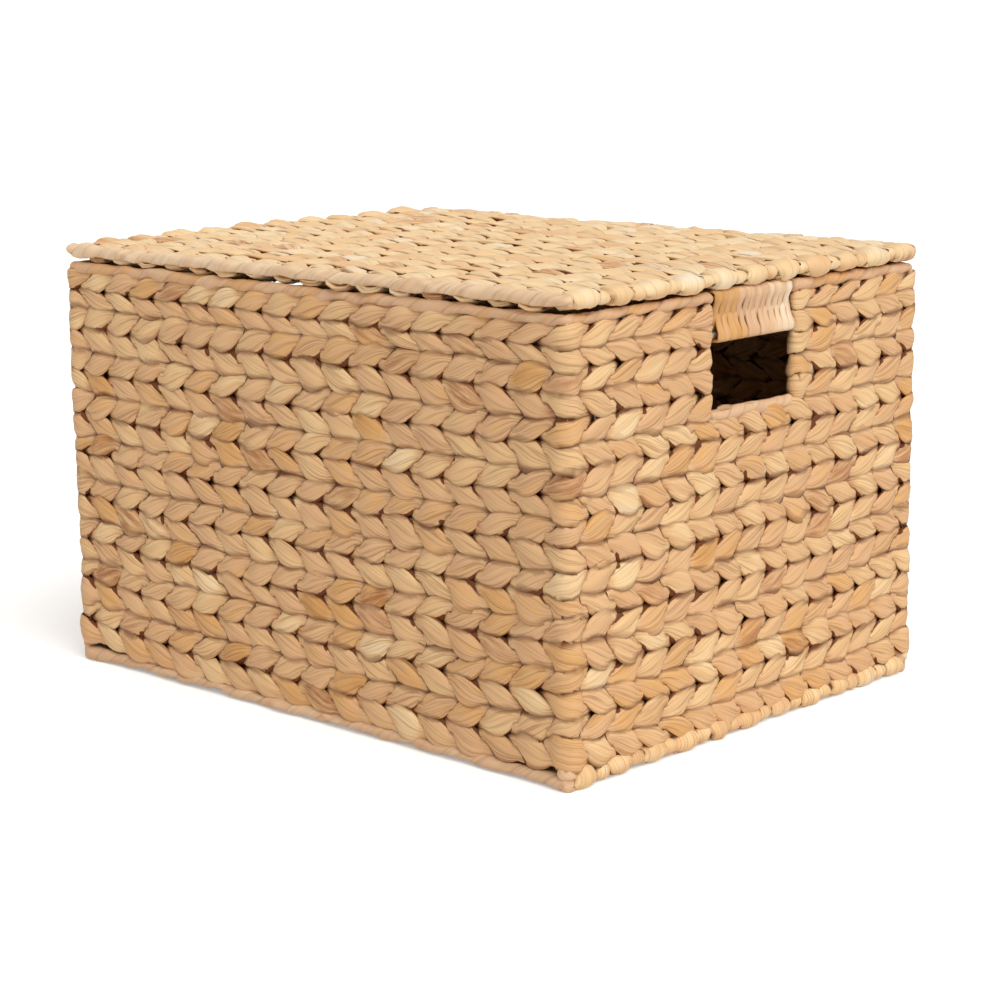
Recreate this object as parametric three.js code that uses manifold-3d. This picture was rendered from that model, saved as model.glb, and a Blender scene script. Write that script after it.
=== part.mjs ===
// Woven lidded storage box: a welded wire frame covered with twined plant strands. Its edges are wound
// with strip, each end wall has a hand-hole under a wound grip, and a flat lid is tied to the back rim.
// Millimetres, +Z up. The front wall faces -Y, and the origin is the middle of the underside.

import * as THREE from "three";
import { mergeVertices } from "three/addons/utils/BufferGeometryUtils.js";
import Module from "manifold-3d";

const wasm = await Module();
wasm.setup();

// Overall sizes
const BODY_LENGTH = 424; // over the weave of the two end walls
const BODY_DEPTH = 326; // over the weave of the two long walls
const RIM_TOP = 260; // top of the wound rim above the ground
const WALL_THICKNESS = 9; // over the crests of the courses
const BASE_THICKNESS = 10; // over the crests of the base lines
const LID_THICKNESS = 11; // over the crests of the lid lines
const LID_OVERHANG = 2; // past the weave of each end wall

// Wire frame
const EDGE_ROD = 4; // diameter of the rim, base, post, grip, sill and lid edge rods
const STAKE = 2.2; // diameter of the upright stakes and the cross wires
const STAKE_SPACING = 24.5;
const ROD_SIDES = 6;
const STAKE_SIDES = 4;

// Weave
const WALL_COURSE = 13.5; // height of a twined course below the grips
const RIM_COURSE = 11; // height of a twined course beside the grips
const RIM_COURSES = 2;
const PANEL_LINE = 14.75; // width of a twined line of the lid and the base
const FOOT_GAP = 1; // lowest course to the base
const FOOT_HEIGHT = 7; // foot of a corner post, bare of weave, above the base
const STRAND_EDGE = 0.5; // strand left over a rod between two courses
const SHOULDER = 0.24; // share of a lid or base line's width that rises from valley to crest
const STITCH_VALLEY = 1.6; // strand outside the plane of the wires between two stitches
const STITCH_LEAN = 4.5; // how far a stitch leans aside at the edges of its course
const KNOB_STEPS = 4; // facets round a strand that turns back over a lid rod
const BASE_KNOB_STEPS = 3; // facets round a strand that turns back over a base rod
const POST_STEPS = 3; // facets round a strand that turns round a post

// Windings
const EDGE_WINDING = 6.6; // diameter over the strip on the rim, sill and base rods
const LID_WINDING = 7; // diameter over the strip on the lid's long rods
const POST_WINDING = 8; // diameter over the strip on the foot of a corner post
const WINDING_SIDES = 8;

// Hand-holes and grips
const HOLE_WIDTH = 78;
const HOLE_COURSES = 3;
const GRIP_STRIP = 2; // diameter of the strip that binds the two grip rods
const GRIP_PITCH = 5.7;
const GRIP_GAP = 0.6; // grip strip to rod
const GRIP_STEPS = 16; // steps in a turn

// Hinge ties
const TIE_CORD = 2;
const TIE_TURNS = 4;
const TIE_PITCH = 2.6;
const TIE_GAP = 0.7; // cord to the windings that it holds
const TIE_BAYS = 5; // stake bays from the middle tie to each outer one
const TIE_BEND = 6; // steps round each of the two rods in a turn
const STRIP_SIDES = 4;
const LID_OPEN_ANGLE = 105; // degrees

// Fits
const CLEARANCE = 0.3;
const NOTCH_MARGIN = 1; // room at each side of a tie

// Places worked out from the sizes
const rodX = (BODY_LENGTH - WALL_THICKNESS) / 2;
const rodY = (BODY_DEPTH - WALL_THICKNESS) / 2;
const rimZ = RIM_TOP - EDGE_WINDING / 2;
const baseZ = BASE_THICKNESS / 2;
const baseTop = baseZ + BASE_THICKNESS / 2;

const weaveTop = rimZ - EDGE_WINDING / 2 - CLEARANCE;
const weaveBottom = baseTop + FOOT_GAP;
const footTop = baseTop + FOOT_HEIGHT;
const footRoom = Math.max(POST_WINDING, WALL_THICKNESS) / 2 + CLEARANCE;
const holeTop = weaveTop - RIM_COURSES * RIM_COURSE;
const wallCourses = Math.round((holeTop - weaveBottom) / WALL_COURSE);
const courseHeight = (holeTop - weaveBottom) / wallCourses;
const holeBottom = holeTop - HOLE_COURSES * courseHeight;
const holePostY = (HOLE_WIDTH + WALL_THICKNESS) / 2;

const gripPath = (EDGE_ROD + GRIP_STRIP) / 2 + GRIP_GAP;
const gripReach = gripPath + GRIP_STRIP / 2;
const gripZ = holeTop + gripReach;

const lidRodX = BODY_LENGTH / 2 + LID_OVERHANG - LID_THICKNESS / 2;
const lidZ = rimZ + gripReach + CLEARANCE + LID_THICKNESS / 2;

const tiePath = Math.max(EDGE_WINDING, LID_WINDING) / 2 + TIE_GAP + TIE_CORD / 2;
const tieReach = tiePath + TIE_CORD / 2;
const tieWidth = TIE_TURNS * TIE_PITCH + TIE_CORD;

const courseValley = (EDGE_ROD / 2 + CLEARANCE) / Math.cos(Math.PI / ROD_SIDES) + STRAND_EDGE;
const endWallEdge = rodY - WALL_THICKNESS / 2 - CLEARANCE;
const endRimEdge = rodY - EDGE_WINDING / 2 - CLEARANCE;

// Materials
const strandMaterial = new THREE.MeshStandardMaterial({ color: 0xd6b083, roughness: 0.75, metalness: 0 });
const lidMaterial = new THREE.MeshStandardMaterial({ color: 0xe2c498, roughness: 0.75, metalness: 0 });
const stripMaterial = new THREE.MeshStandardMaterial({ color: 0xd0a982, roughness: 0.7, metalness: 0 });
const wireMaterial = new THREE.MeshStandardMaterial({ color: 0xd9d6ce, roughness: 0.4, metalness: 0.9 });

// Solids: three.js geometry in, manifold solid for cuts and joins, three.js geometry out
function solidOf(geometry) {
  const bare = geometry.clone();
  bare.deleteAttribute("normal");
  bare.deleteAttribute("uv");
  const merged = mergeVertices(bare, 1e-4);
  return new wasm.Manifold(
    new wasm.Mesh({
      numProp: 3,
      vertProperties: new Float32Array(merged.attributes.position.array),
      triVerts: new Uint32Array(merged.index.array),
    }),
  );
}

function geometryOf(solid) {
  const mesh = solid.getMesh();
  const geometry = new THREE.BufferGeometry();
  geometry.setAttribute("position", new THREE.BufferAttribute(new Float32Array(mesh.vertProperties), 3));
  geometry.setIndex(new THREE.BufferAttribute(new Uint32Array(mesh.triVerts), 1));
  geometry.computeVertexNormals();
  return geometry;
}

function joined(solids) {
  return solids.reduce((whole, solid) => whole.add(solid));
}

function block(low, high) {
  const size = new THREE.Vector3().subVectors(high, low);
  const middle = new THREE.Vector3().addVectors(low, high).multiplyScalar(0.5);
  return solidOf(new THREE.BoxGeometry(size.x, size.y, size.z).translate(middle.x, middle.y, middle.z));
}

// A faceted round bar from one point to another, its diameter taken over the flats, with extra length
// past both ends
function bar(from, to, diameter, sides, extra = 0) {
  const run = new THREE.Vector3().subVectors(to, from);
  const radius = diameter / 2 / Math.cos(Math.PI / sides);
  const length = run.length() + 2 * extra;
  const geometry = new THREE.CylinderGeometry(radius, radius, length, sides, 1, false, Math.PI / sides);
  const turn = new THREE.Quaternion().setFromUnitVectors(new THREE.Vector3(0, 1, 0), run.normalize());
  geometry.applyQuaternion(turn);
  const middle = new THREE.Vector3().addVectors(from, to).multiplyScalar(0.5);
  return solidOf(geometry.translate(middle.x, middle.y, middle.z));
}

const at = (x, y, z) => new THREE.Vector3(x, y, z);

// Evenly spaced lines, both ends included
function evenLines(from, to, count) {
  return Array.from({ length: count + 1 }, (_, i) => from + ((to - from) * i) / count);
}

function oddCount(length, spacing) {
  return 2 * Math.round((length / spacing - 1) / 2) + 1;
}

// Places of the stakes between two rods, with neither rod included
function stakesBetween(from, to) {
  return evenLines(from, to, Math.max(1, Math.round((to - from) / STAKE_SPACING))).slice(1, -1);
}

// A solid through rings of points, closed on itself or capped at its first and last ring
function loft(rings, closed) {
  const count = rings[0].length;
  const faces = [];
  for (let i = 0; i < rings.length - (closed ? 0 : 1); i += 1) {
    const next = (i + 1) % rings.length;
    for (let k = 0; k < count; k += 1) {
      const beside = (k + 1) % count;
      faces.push(i * count + k, i * count + beside, next * count + beside);
      faces.push(i * count + k, next * count + beside, next * count + k);
    }
  }
  const last = (rings.length - 1) * count;
  for (let k = 1; k + 1 < count && !closed; k += 1) {
    faces.push(0, k + 1, k, last, last + k, last + k + 1);
  }
  const positions = rings.flat().flatMap((point) => point.toArray());
  const geometry = new THREE.BufferGeometry();
  geometry.setAttribute("position", new THREE.Float32BufferAttribute(positions, 3));
  geometry.setIndex(faces);
  return solidOf(geometry);
}

const longBays = oddCount(2 * rodX, STAKE_SPACING);
const bayX = (2 * rodX) / longBays;
const longStakes = evenLines(-rodX, rodX, longBays).slice(1, -1);
const sideStakes = stakesBetween(holePostY, rodY);
const sillStakes = stakesBetween(-holePostY, holePostY);
const tieCentres = [-TIE_BAYS * bayX, 0, TIE_BAYS * bayX];

// Wires of the frames, or the room to cut for them where there is a gap to leave round them
function stakeWire(from, to, gap) {
  return bar(from, to, STAKE + 2 * gap, STAKE_SIDES, gap);
}

function edgeRod(from, to, gap) {
  return bar(from, to, EDGE_ROD + 2 * gap, ROD_SIDES, gap);
}

// A rectangle of edge rod with mitred corners
function edgeRing(halfX, halfY, z, gap) {
  const radius = (EDGE_ROD / 2 + gap) / Math.cos(Math.PI / ROD_SIDES);
  const angles = evenLines(0, 2 * Math.PI, ROD_SIDES).slice(0, -1);
  const corners = [[1, 1], [1, -1], [-1, -1], [-1, 1]];
  const rings = corners.map(([sideX, sideY]) =>
    angles.map((a) => {
      const outward = radius * Math.cos(a);
      return at(sideX * (halfX + outward), sideY * (halfY + outward), z + radius * Math.sin(a));
    }),
  );
  return loft(rings, true);
}

// The body's welded frame, or the room that it takes
function bodyFrame(gap) {
  const wires = [edgeRing(rodX, rodY, baseZ, gap), edgeRing(rodX, rodY, rimZ, gap)];
  const rod = (from, to) => wires.push(edgeRod(from, to, gap));
  const stake = (from, to) => wires.push(stakeWire(from, to, gap));
  for (const x of [-rodX, rodX]) {
    for (const y of [-rodY, rodY]) {
      rod(at(x, y, baseZ), at(x, y, rimZ));
    }
    for (const z of [holeBottom, gripZ]) {
      rod(at(x, -holePostY, z), at(x, holePostY, z));
    }
    for (const y of [holePostY, ...sideStakes]) {
      stake(at(x, y, baseZ), at(x, y, rimZ));
      stake(at(x, -y, baseZ), at(x, -y, rimZ));
    }
    for (const y of sillStakes) {
      stake(at(x, y, baseZ), at(x, y, holeBottom));
    }
  }
  for (const x of longStakes) {
    stake(at(x, -rodY, baseZ), at(x, rodY, baseZ));
    stake(at(x, -rodY, baseZ), at(x, -rodY, rimZ));
    stake(at(x, rodY, baseZ), at(x, rodY, rimZ));
  }
  return joined(wires);
}

// The lid's welded frame, with its cross wires over the body's stakes, or the room that it takes
function lidFrame(gap) {
  const wires = [edgeRing(lidRodX, rodY, lidZ, gap)];
  for (const x of longStakes) {
    wires.push(stakeWire(at(x, -rodY, lidZ), at(x, rodY, lidZ), gap));
  }
  return joined(wires);
}

// Half thickness of a weave along its stack of courses: thin at each line, full over each course
function courseStations(lines, crest, shoulders) {
  const stations = [];
  for (let i = 0; i + 1 < lines.length; i += 1) {
    const height = lines[i + 1] - lines[i];
    stations.push([lines[i], courseValley]);
    stations.push(...shoulders.map((share) => [lines[i] + share * height, crest]));
  }
  stations.push([lines.at(-1), courseValley]);
  return stations;
}

// End of a weave's outline, as (through, along) points from one face to the other: square, or turned
// back round a rod that lies there, reaching half the thickness past it
function courseEnd(half, centre, start, steps) {
  if (steps === 0) {
    return [0, Math.PI].map((a) => [half * Math.cos(start + a), centre]);
  }
  const reach = steps % 2 === 0 ? half : half / Math.cos(Math.PI / (2 * steps));
  const angles = evenLines(start, start + Math.PI, steps);
  return angles.map((a) => [half * Math.cos(a), centre + reach * Math.sin(a)]);
}

function courseOutline(half, { from, to, fromSteps = 0, toSteps = 0 }) {
  return [...courseEnd(half, to, 0, toSteps), ...courseEnd(half, from, Math.PI, fromSteps)];
}

// A point of a panel from its places along the panel's axes: stack, through and along
function panelPoint({ axes, origin }, height, through, along) {
  return at(...origin)
    .addScaledVector(axes[0], height)
    .addScaledVector(axes[1], through)
    .addScaledVector(axes[2], along);
}

// Outlines of a twined panel at its stations, each course full at its middle, or between its shoulders
function panelRings({ shoulders = [1 / 2], ...panel }) {
  return courseStations(panel.lines, panel.thickness / 2, shoulders).map(([height, half]) =>
    courseOutline(half, panel.span).map((point) => panelPoint(panel, height, ...point)),
  );
}

// A twined panel with plain courses, lofted through its outlines
function wovenPanel(panel) {
  return loft(panelRings(panel), false);
}

// Facets between two rows of points, each four of them parted along the shorter diagonal
function facetRows(lower, upper) {
  return lower.slice(1).flatMap((b, i) => {
    const [a, c, d] = [lower[i], upper[i + 1], upper[i]];
    return a.distanceTo(c) < b.distanceTo(d) ? [a, b, c, a, c, d] : [a, b, d, b, c, d];
  });
}

function facetFan(centre, points) {
  return points.slice(1).flatMap((point, i) => [centre, points[i], point]);
}

// Points of a stitched face on a line between two courses, as (through, along): a crest over each wire and
// a valley in each bay, all leaning one way. At the edges of the panel the strands lie even.
function stitchRow({ lines, thickness, span, wires }, line) {
  const edge = line === 0 || line === lines.length - 1;
  const lean = line % 2 === 0 ? STITCH_LEAN : -STITCH_LEAN;
  const stops = [span.from, ...wires, span.to];
  const row = stops.slice(1).flatMap((stop, i) => [
    [edge ? courseValley : thickness / 2, stops[i] + lean],
    [edge ? courseValley : STITCH_VALLEY, (stops[i] + stop) / 2 + lean],
  ]);
  return row.slice(1);
}

// A twined panel with a stitch over each wire on its outer face, leaning one way in one course and the
// other way in the next. Its ends and its inner face are those of a plain panel.
function stitchedPanel(panel) {
  const rings = panelRings(panel);
  const last = panel.lines.length - 1;
  const stations = (rings.length - 1) / last;
  const rows = panel.lines.map((height, line) =>
    stitchRow(panel, line).map((point) => panelPoint(panel, height, ...point)),
  );
  const facets = rings.slice(1).flatMap((ring, i) => facetRows(rings[i], ring));
  for (let line = 0; line < last; line += 1) {
    const [lower, upper] = [rows[line], rows[line + 1]];
    const beside = rings.slice(line * stations, (line + 1) * stations + 1);
    const fromSide = beside.map((ring) => ring.at(-1)).reverse();
    const toSide = beside.map((ring) => ring[0]);
    facets.push(...facetRows(lower, upper));
    facets.push(...facetFan(lower[0], [upper[0], ...fromSide]));
    facets.push(...facetFan(upper.at(-1), [lower.at(-1), ...toSide]));
  }
  // The edges are flat, so each is one fan from an inner corner
  const corner = rings[0].length / 2 - 1;
  const outlines = [0, last].map((line) => {
    const ring = rings[line * stations];
    return [...ring.slice(corner + 1), ...rows[line], ...ring.slice(0, corner)];
  });
  facets.push(...facetFan(rings[0][corner], outlines[0].reverse()));
  facets.push(...facetFan(rings.at(-1)[corner], outlines[1]));
  return solidOf(new THREE.BufferGeometry().setFromPoints(facets));
}

const X = at(1, 0, 0);
const Y = at(0, 1, 0);
const Z = at(0, 0, 1);
const LONG_WALL = [Z, Y.clone().negate(), X];
const END_WALL = [Z, X, Y];
const FLAT_PANEL = [Y, Z, X];
const DOWN = Z.clone().negate();

// Courses of the walls from the foot to the rim
const courses = [
  ...evenLines(weaveBottom, holeTop, wallCourses),
  ...evenLines(holeTop, weaveTop, RIM_COURSES).slice(1),
];
const sillLine = wallCourses - HOLE_COURSES;
const lowerCourses = courses.slice(0, sillLine + 1);
lowerCourses[sillLine] -= CLEARANCE;
const upperCourses = courses.slice(sillLine);

// A winding whose points are spaced by the steps of its turns, not by length
class Winding extends THREE.Curve {
  getPointAt(u, target) {
    return this.getPoint(u, target);
  }

  getTangentAt(u, target) {
    return this.getTangent(u, target);
  }
}

// A winding that crosses itself between two rods in every turn, as a figure of eight
class FigureEight extends Winding {
  constructor({ middle, halfSpan, reach, halfLength, turns }) {
    super();
    Object.assign(this, { middle, halfSpan, reach, halfLength, turns });
    this.turnSteps = GRIP_STEPS;
    this.steps = turns * GRIP_STEPS;
  }

  getPoint(t, target = new THREE.Vector3()) {
    const angle = 2 * Math.PI * this.turns * t + Math.PI / 2;
    const through = this.reach * Math.sin(2 * angle);
    const rise = (this.halfSpan + this.reach) * Math.cos(angle);
    return target.set(through, this.halfLength * (2 * t - 1), rise).add(this.middle);
  }
}

// A winding round two rods that lie one above the other: a straight side, a bend over the top, a
// straight side and a bend underneath, and one more straight side to end with
class OvalLoop extends Winding {
  constructor({ low, rise, radius, turns, pitch }) {
    super();
    Object.assign(this, { low, rise, radius, pitch });
    this.turnSteps = 2 + 2 * TIE_BEND;
    this.steps = turns * this.turnSteps + 1;
  }

  getPoint(t, target = new THREE.Vector3()) {
    const half = this.turnSteps / 2;
    const step = (t * this.steps) % this.turnSteps;
    const down = step >= half;
    const part = down ? step - half : step;
    const angle = (Math.PI * Math.max(0, part - 1)) / TIE_BEND;
    const rise = this.rise * Math.min(1, part) + this.radius * Math.sin(angle);
    const through = this.radius * Math.cos(angle);
    const along = (this.pitch * this.steps * (t - 0.5)) / this.turnSteps;
    return target.set(along, down ? -through : through, down ? this.rise - rise : rise).add(this.low);
  }
}

// One unbroken strip along a winding, whose least gap to itself is measured and printed
function woundStrip(name, curve, diameter) {
  const fineness = 3;
  const points = curve.getPoints(curve.steps * fineness);
  const apart = Math.round((curve.turnSteps * fineness) / 3);
  let least = Infinity;
  for (let i = 0; i < points.length; i += 1) {
    for (let j = i + apart; j < points.length; j += 1) {
      least = Math.min(least, points[i].distanceTo(points[j]));
    }
  }
  console.log(`${name}: least gap to itself ${(least - diameter).toFixed(2)} mm`);
  const section = new THREE.Shape(
    evenLines(0, 2 * Math.PI, STRIP_SIDES)
      .slice(0, -1)
      .map((a) => new THREE.Vector2((Math.cos(a) * diameter) / 2, (Math.sin(a) * diameter) / 2)),
  );
  return solidOf(
    new THREE.ExtrudeGeometry(section, { steps: curve.steps, bevelEnabled: false, extrudePath: curve }),
  );
}

// Room along a winding for the wires that come out of its rod on one side, or on two
function wireSlot(from, to, ...outwards) {
  const room = new THREE.Box3();
  for (const outward of outwards) {
    const across = new THREE.Vector3().crossVectors(outward, at(...to).sub(from));
    across.setLength(STAKE / 2 + 2 * CLEARANCE);
    for (const point of [from, to]) {
      room.expandByPoint(at(...point).add(across));
      room.expandByPoint(at(...point).sub(across).addScaledVector(outward, LID_WINDING));
    }
  }
  return block(room.min, room.max);
}

const box = new THREE.Group();

function addPiece(name, solid, material) {
  const mesh = new THREE.Mesh(geometryOf(solid), material);
  mesh.name = name;
  box.add(mesh);
}

const bodyRoom = bodyFrame(CLEARANCE);
const lidRoom = lidFrame(CLEARANCE);

// Frames
addPiece("wire_frame", bodyFrame(0), wireMaterial);
addPiece("lid_wire_frame", lidFrame(0), wireMaterial);

// Long walls, whose courses turn round the corner posts above their feet. The back wall is notched where
// the ties turn.
const longWall = (y) => ({
  lines: courses,
  thickness: WALL_THICKNESS,
  span: { from: -rodX, to: rodX, fromSteps: POST_STEPS, toSteps: POST_STEPS },
  wires: longStakes,
  axes: LONG_WALL,
  origin: [0, y, 0],
});

const lean = THREE.MathUtils.degToRad(LID_OPEN_ANGLE - 90);
const notchDepth = (WALL_THICKNESS / 2) * Math.tan(lean) + tieReach / Math.cos(lean) + CLEARANCE;
const notchHalf = tieWidth / 2 + NOTCH_MARGIN;
const wallNotches = tieCentres.map((x) =>
  block(
    at(x - notchHalf, rodY - WALL_THICKNESS, rimZ - notchDepth),
    at(x + notchHalf, rodY + WALL_THICKNESS, rimZ),
  ),
);
const cornerNotches = (y) =>
  [-rodX, rodX].map((x) =>
    block(
      at(x - footRoom, y - footRoom, baseTop),
      at(x + footRoom, y + footRoom, footTop + CLEARANCE),
    ),
  );
const frontRoom = joined([bodyRoom, ...cornerNotches(-rodY)]);
const backRoom = joined([bodyRoom, ...cornerNotches(rodY), ...wallNotches]);
addPiece("front_weave", stitchedPanel(longWall(-rodY)).subtract(frontRoom), strandMaterial);
addPiece("back_weave", wovenPanel(longWall(rodY)).subtract(backRoom), strandMaterial);

// End walls, in three fields round the hand-hole, with their sills and grips
for (const [sideName, side] of [["right", 1], ["left", -1]]) {
  const x = side * rodX;
  const field = { thickness: WALL_THICKNESS, axes: END_WALL, origin: [x, 0, 0] };
  const sill = [at(x, -HOLE_WIDTH / 2, holeBottom), at(x, HOLE_WIDTH / 2, holeBottom)];
  const sillRoom = bar(...sill, EDGE_WINDING + 2 * CLEARANCE, WINDING_SIDES, CLEARANCE);
  const whole = { from: -endWallEdge, to: endWallEdge };
  const lower = wovenPanel({ ...field, lines: lowerCourses, span: whole });
  addPiece(`${sideName}_lower_weave`, lower.subtract(bodyRoom).subtract(sillRoom), strandMaterial);
  const front = { from: -endWallEdge, to: -holePostY, toSteps: POST_STEPS };
  const back = { from: holePostY, to: endWallEdge, fromSteps: POST_STEPS };
  for (const [place, span] of [["front", front], ["back", back]]) {
    const upper = wovenPanel({ ...field, lines: upperCourses, span });
    addPiece(`${sideName}_${place}_weave`, upper.subtract(bodyRoom), strandMaterial);
  }
  const sillWinding = bar(...sill, EDGE_WINDING, WINDING_SIDES).subtract(bodyRoom);
  addPiece(`sill_winding_${sideName}`, sillWinding, stripMaterial);
  const gripLength = HOLE_WIDTH - 2 * CLEARANCE - GRIP_STRIP;
  const gripCurve = new FigureEight({
    middle: at(x, 0, (rimZ + gripZ) / 2),
    halfSpan: (rimZ - gripZ) / 2,
    reach: gripPath,
    halfLength: gripLength / 2,
    turns: Math.floor(gripLength / GRIP_PITCH),
  });
  const gripName = `grip_winding_${sideName}`;
  addPiece(gripName, woundStrip(gripName, gripCurve, GRIP_STRIP), stripMaterial);
  for (const [place, end] of [["front", -1], ["back", 1]]) {
    const run = [at(x, (end * HOLE_WIDTH) / 2, rimZ), at(x, end * endRimEdge, rimZ)];
    const rim = bar(...run, EDGE_WINDING, WINDING_SIDES).subtract(wireSlot(...run, DOWN));
    addPiece(`rim_winding_${sideName}_${place}`, rim.subtract(bodyRoom), stripMaterial);
  }
}

// Feet of the corner posts, and the windings of the long rods
for (const [depthName, end] of [["front", -1], ["back", 1]]) {
  const y = end * rodY;
  for (const [sideName, side] of [["left", -1], ["right", 1]]) {
    const x = side * rodX;
    const footRun = [at(x, y, baseTop + CLEARANCE), at(x, y, footTop)];
    const foot = bar(...footRun, POST_WINDING, ROD_SIDES);
    addPiece(`post_winding_${depthName}_${sideName}`, foot.subtract(bodyRoom), stripMaterial);
  }
  const inward = at(0, -end, 0);
  const longWinding = (halfLength, z, diameter, ...outwards) => {
    const run = [at(-halfLength, y, z), at(halfLength, y, z)];
    return bar(...run, diameter, WINDING_SIDES, diameter / 2).subtract(wireSlot(...run, ...outwards));
  };
  const rim = longWinding(rodX, rimZ, EDGE_WINDING, DOWN);
  addPiece(`rim_winding_${depthName}`, rim.subtract(bodyRoom), stripMaterial);
  const base = longWinding(rodX, baseZ, EDGE_WINDING, inward, Z);
  addPiece(`base_winding_${depthName}`, base.subtract(bodyRoom), stripMaterial);
  const lidEdge = longWinding(lidRodX, lidZ, LID_WINDING, inward);
  addPiece(`lid_winding_${depthName}`, lidEdge.subtract(lidRoom), stripMaterial);
}

// Base and lid: lines along the length that end in knobs round the end rods
const flatPanel = (halfWidth, thickness, endX, z, knobSteps) => ({
  lines: evenLines(-halfWidth, halfWidth, oddCount(2 * halfWidth, PANEL_LINE)),
  thickness,
  span: { from: -endX, to: endX, fromSteps: knobSteps, toSteps: knobSteps },
  shoulders: [SHOULDER, 1 - SHOULDER],
  wires: longStakes,
  axes: FLAT_PANEL,
  origin: [0, 0, z],
});

const baseHalf = rodY - EDGE_WINDING / 2 - CLEARANCE;
const basePanel = wovenPanel(flatPanel(baseHalf, BASE_THICKNESS, rodX, baseZ, BASE_KNOB_STEPS));
addPiece("base_weave", basePanel.subtract(bodyRoom), strandMaterial);

const lidHalf = rodY - LID_WINDING / 2 - CLEARANCE;
const lidNotches = tieCentres.map((x) =>
  block(
    at(x - notchHalf, rodY - tieReach - CLEARANCE, lidZ - LID_THICKNESS),
    at(x + notchHalf, rodY, lidZ + LID_THICKNESS),
  ),
);
const lidPanel = stitchedPanel(flatPanel(lidHalf, LID_THICKNESS, lidRodX, lidZ, KNOB_STEPS));
addPiece("lid_weave", lidPanel.subtract(lidRoom).subtract(joined(lidNotches)), lidMaterial);

// Ties that hold the lid's back rod to the rim and turn round the rim with the lid
["left", "middle", "right"].forEach((place, i) => {
  const name = `hinge_tie_${place}`;
  const loop = new OvalLoop({
    low: at(tieCentres[i], rodY, rimZ),
    rise: lidZ - rimZ,
    radius: tiePath,
    turns: TIE_TURNS,
    pitch: TIE_PITCH,
  });
  addPiece(name, woundStrip(name, loop, TIE_CORD), stripMaterial);
});

export default box;
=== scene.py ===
"""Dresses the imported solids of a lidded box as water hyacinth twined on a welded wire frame.

Sizes are millimetres in the frame of the solids (+Z up, the front wall faces -Y) until a mesh is made.
"""

import logging
import math
from dataclasses import dataclass, field
from enum import Enum
from typing import Any, Sequence

import bpy
import numpy as np
from mathutils import Matrix, Vector


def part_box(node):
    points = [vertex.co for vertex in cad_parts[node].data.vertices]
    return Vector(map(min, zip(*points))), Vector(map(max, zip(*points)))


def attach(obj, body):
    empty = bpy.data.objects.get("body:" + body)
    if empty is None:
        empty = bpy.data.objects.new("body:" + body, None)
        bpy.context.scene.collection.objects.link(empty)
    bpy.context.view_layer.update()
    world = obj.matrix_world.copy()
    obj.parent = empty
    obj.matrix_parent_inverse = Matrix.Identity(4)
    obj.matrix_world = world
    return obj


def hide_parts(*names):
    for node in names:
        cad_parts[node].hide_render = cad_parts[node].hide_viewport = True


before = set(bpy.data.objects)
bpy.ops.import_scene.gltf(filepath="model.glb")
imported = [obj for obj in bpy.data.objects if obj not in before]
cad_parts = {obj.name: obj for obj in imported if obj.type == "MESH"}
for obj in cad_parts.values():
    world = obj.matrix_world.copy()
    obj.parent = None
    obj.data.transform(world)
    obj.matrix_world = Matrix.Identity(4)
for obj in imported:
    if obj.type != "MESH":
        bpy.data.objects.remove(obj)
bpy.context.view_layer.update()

LOG = logging.getLogger("woven_box")

MM = 0.001
FULL_TURN = 2.0 * math.pi
RIGHT = np.array([1.0, 0.0, 0.0])
ACROSS = np.array([0.0, 1.0, 0.0])
UP = np.array([0.0, 0.0, 1.0])

# Wires of the frame, and the spacing of what is woven on them.
EDGE_WIRE = 4.0
STAKE_WIRE = 2.2
STAKE_SPACING = 24.4
COURSE_PITCH = 13.5
RIM_COURSES = 2
LINE_PITCH = 14.7
POST_INSET = 4.5

# A strand's own edge counts as this far from a crevice, so painted shade runs along it, and nothing comes
# nearer to the floor than the gap.
EDGE_GAP = 0.25
FLOOR_GAP = 0.1
# Share of a bay over which a strand swells into the turn at the end of its row.
END_RUN = 0.4
# Places closer together than this are the same place.
SAME = 1e-6

# Seeds of the first grip and the first tie; the others count on from them.
GRIP_SEED = 41
TIE_SEED = 51

# Sockets of a Mix node that mixes colours.
MIX_A = 6
MIX_B = 7
MIX_OUT = 2

Array = np.ndarray
Colour = tuple[float, float, float, float]


class Body(Enum):
    """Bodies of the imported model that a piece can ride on."""

    BOX = "box"
    LID = "lid"


class Slot(Enum):
    """Material slots of the record."""

    STRAND = "hyacinth_strand"
    LID = "hyacinth_lid"
    STRIP = "hyacinth_strip"
    WIRE = "steel_wire"


class Slant(Enum):
    """Way in which the stitches of a course lean, seen from outside."""

    RISING = 1.0
    FALLING = -1.0


def linear(code: str) -> Colour:
    """Turns an sRGB hex colour into linear RGBA.

    Args:
        code: Six hex digits.

    Returns:
        Linear red, green and blue with alpha 1.
    """
    parts = [int(code[k:k + 2], 16) / 255.0 for k in (0, 2, 4)]
    lit = [p / 12.92 if p <= 0.04045 else ((p + 0.055) / 1.055) ** 2.4 for p in parts]
    return (lit[0], lit[1], lit[2], 1.0)


def grey(level: float) -> Colour:
    """Grey of one linear level."""
    return (level, level, level, 1.0)


def new_material(name: str) -> bpy.types.Material:
    """Makes a material with an empty node tree.

    Args:
        name: Name of the material.

    Returns:
        The material.
    """
    made = bpy.data.materials.new(name)
    made.use_nodes = True
    made.node_tree.nodes.clear()
    return made


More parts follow.
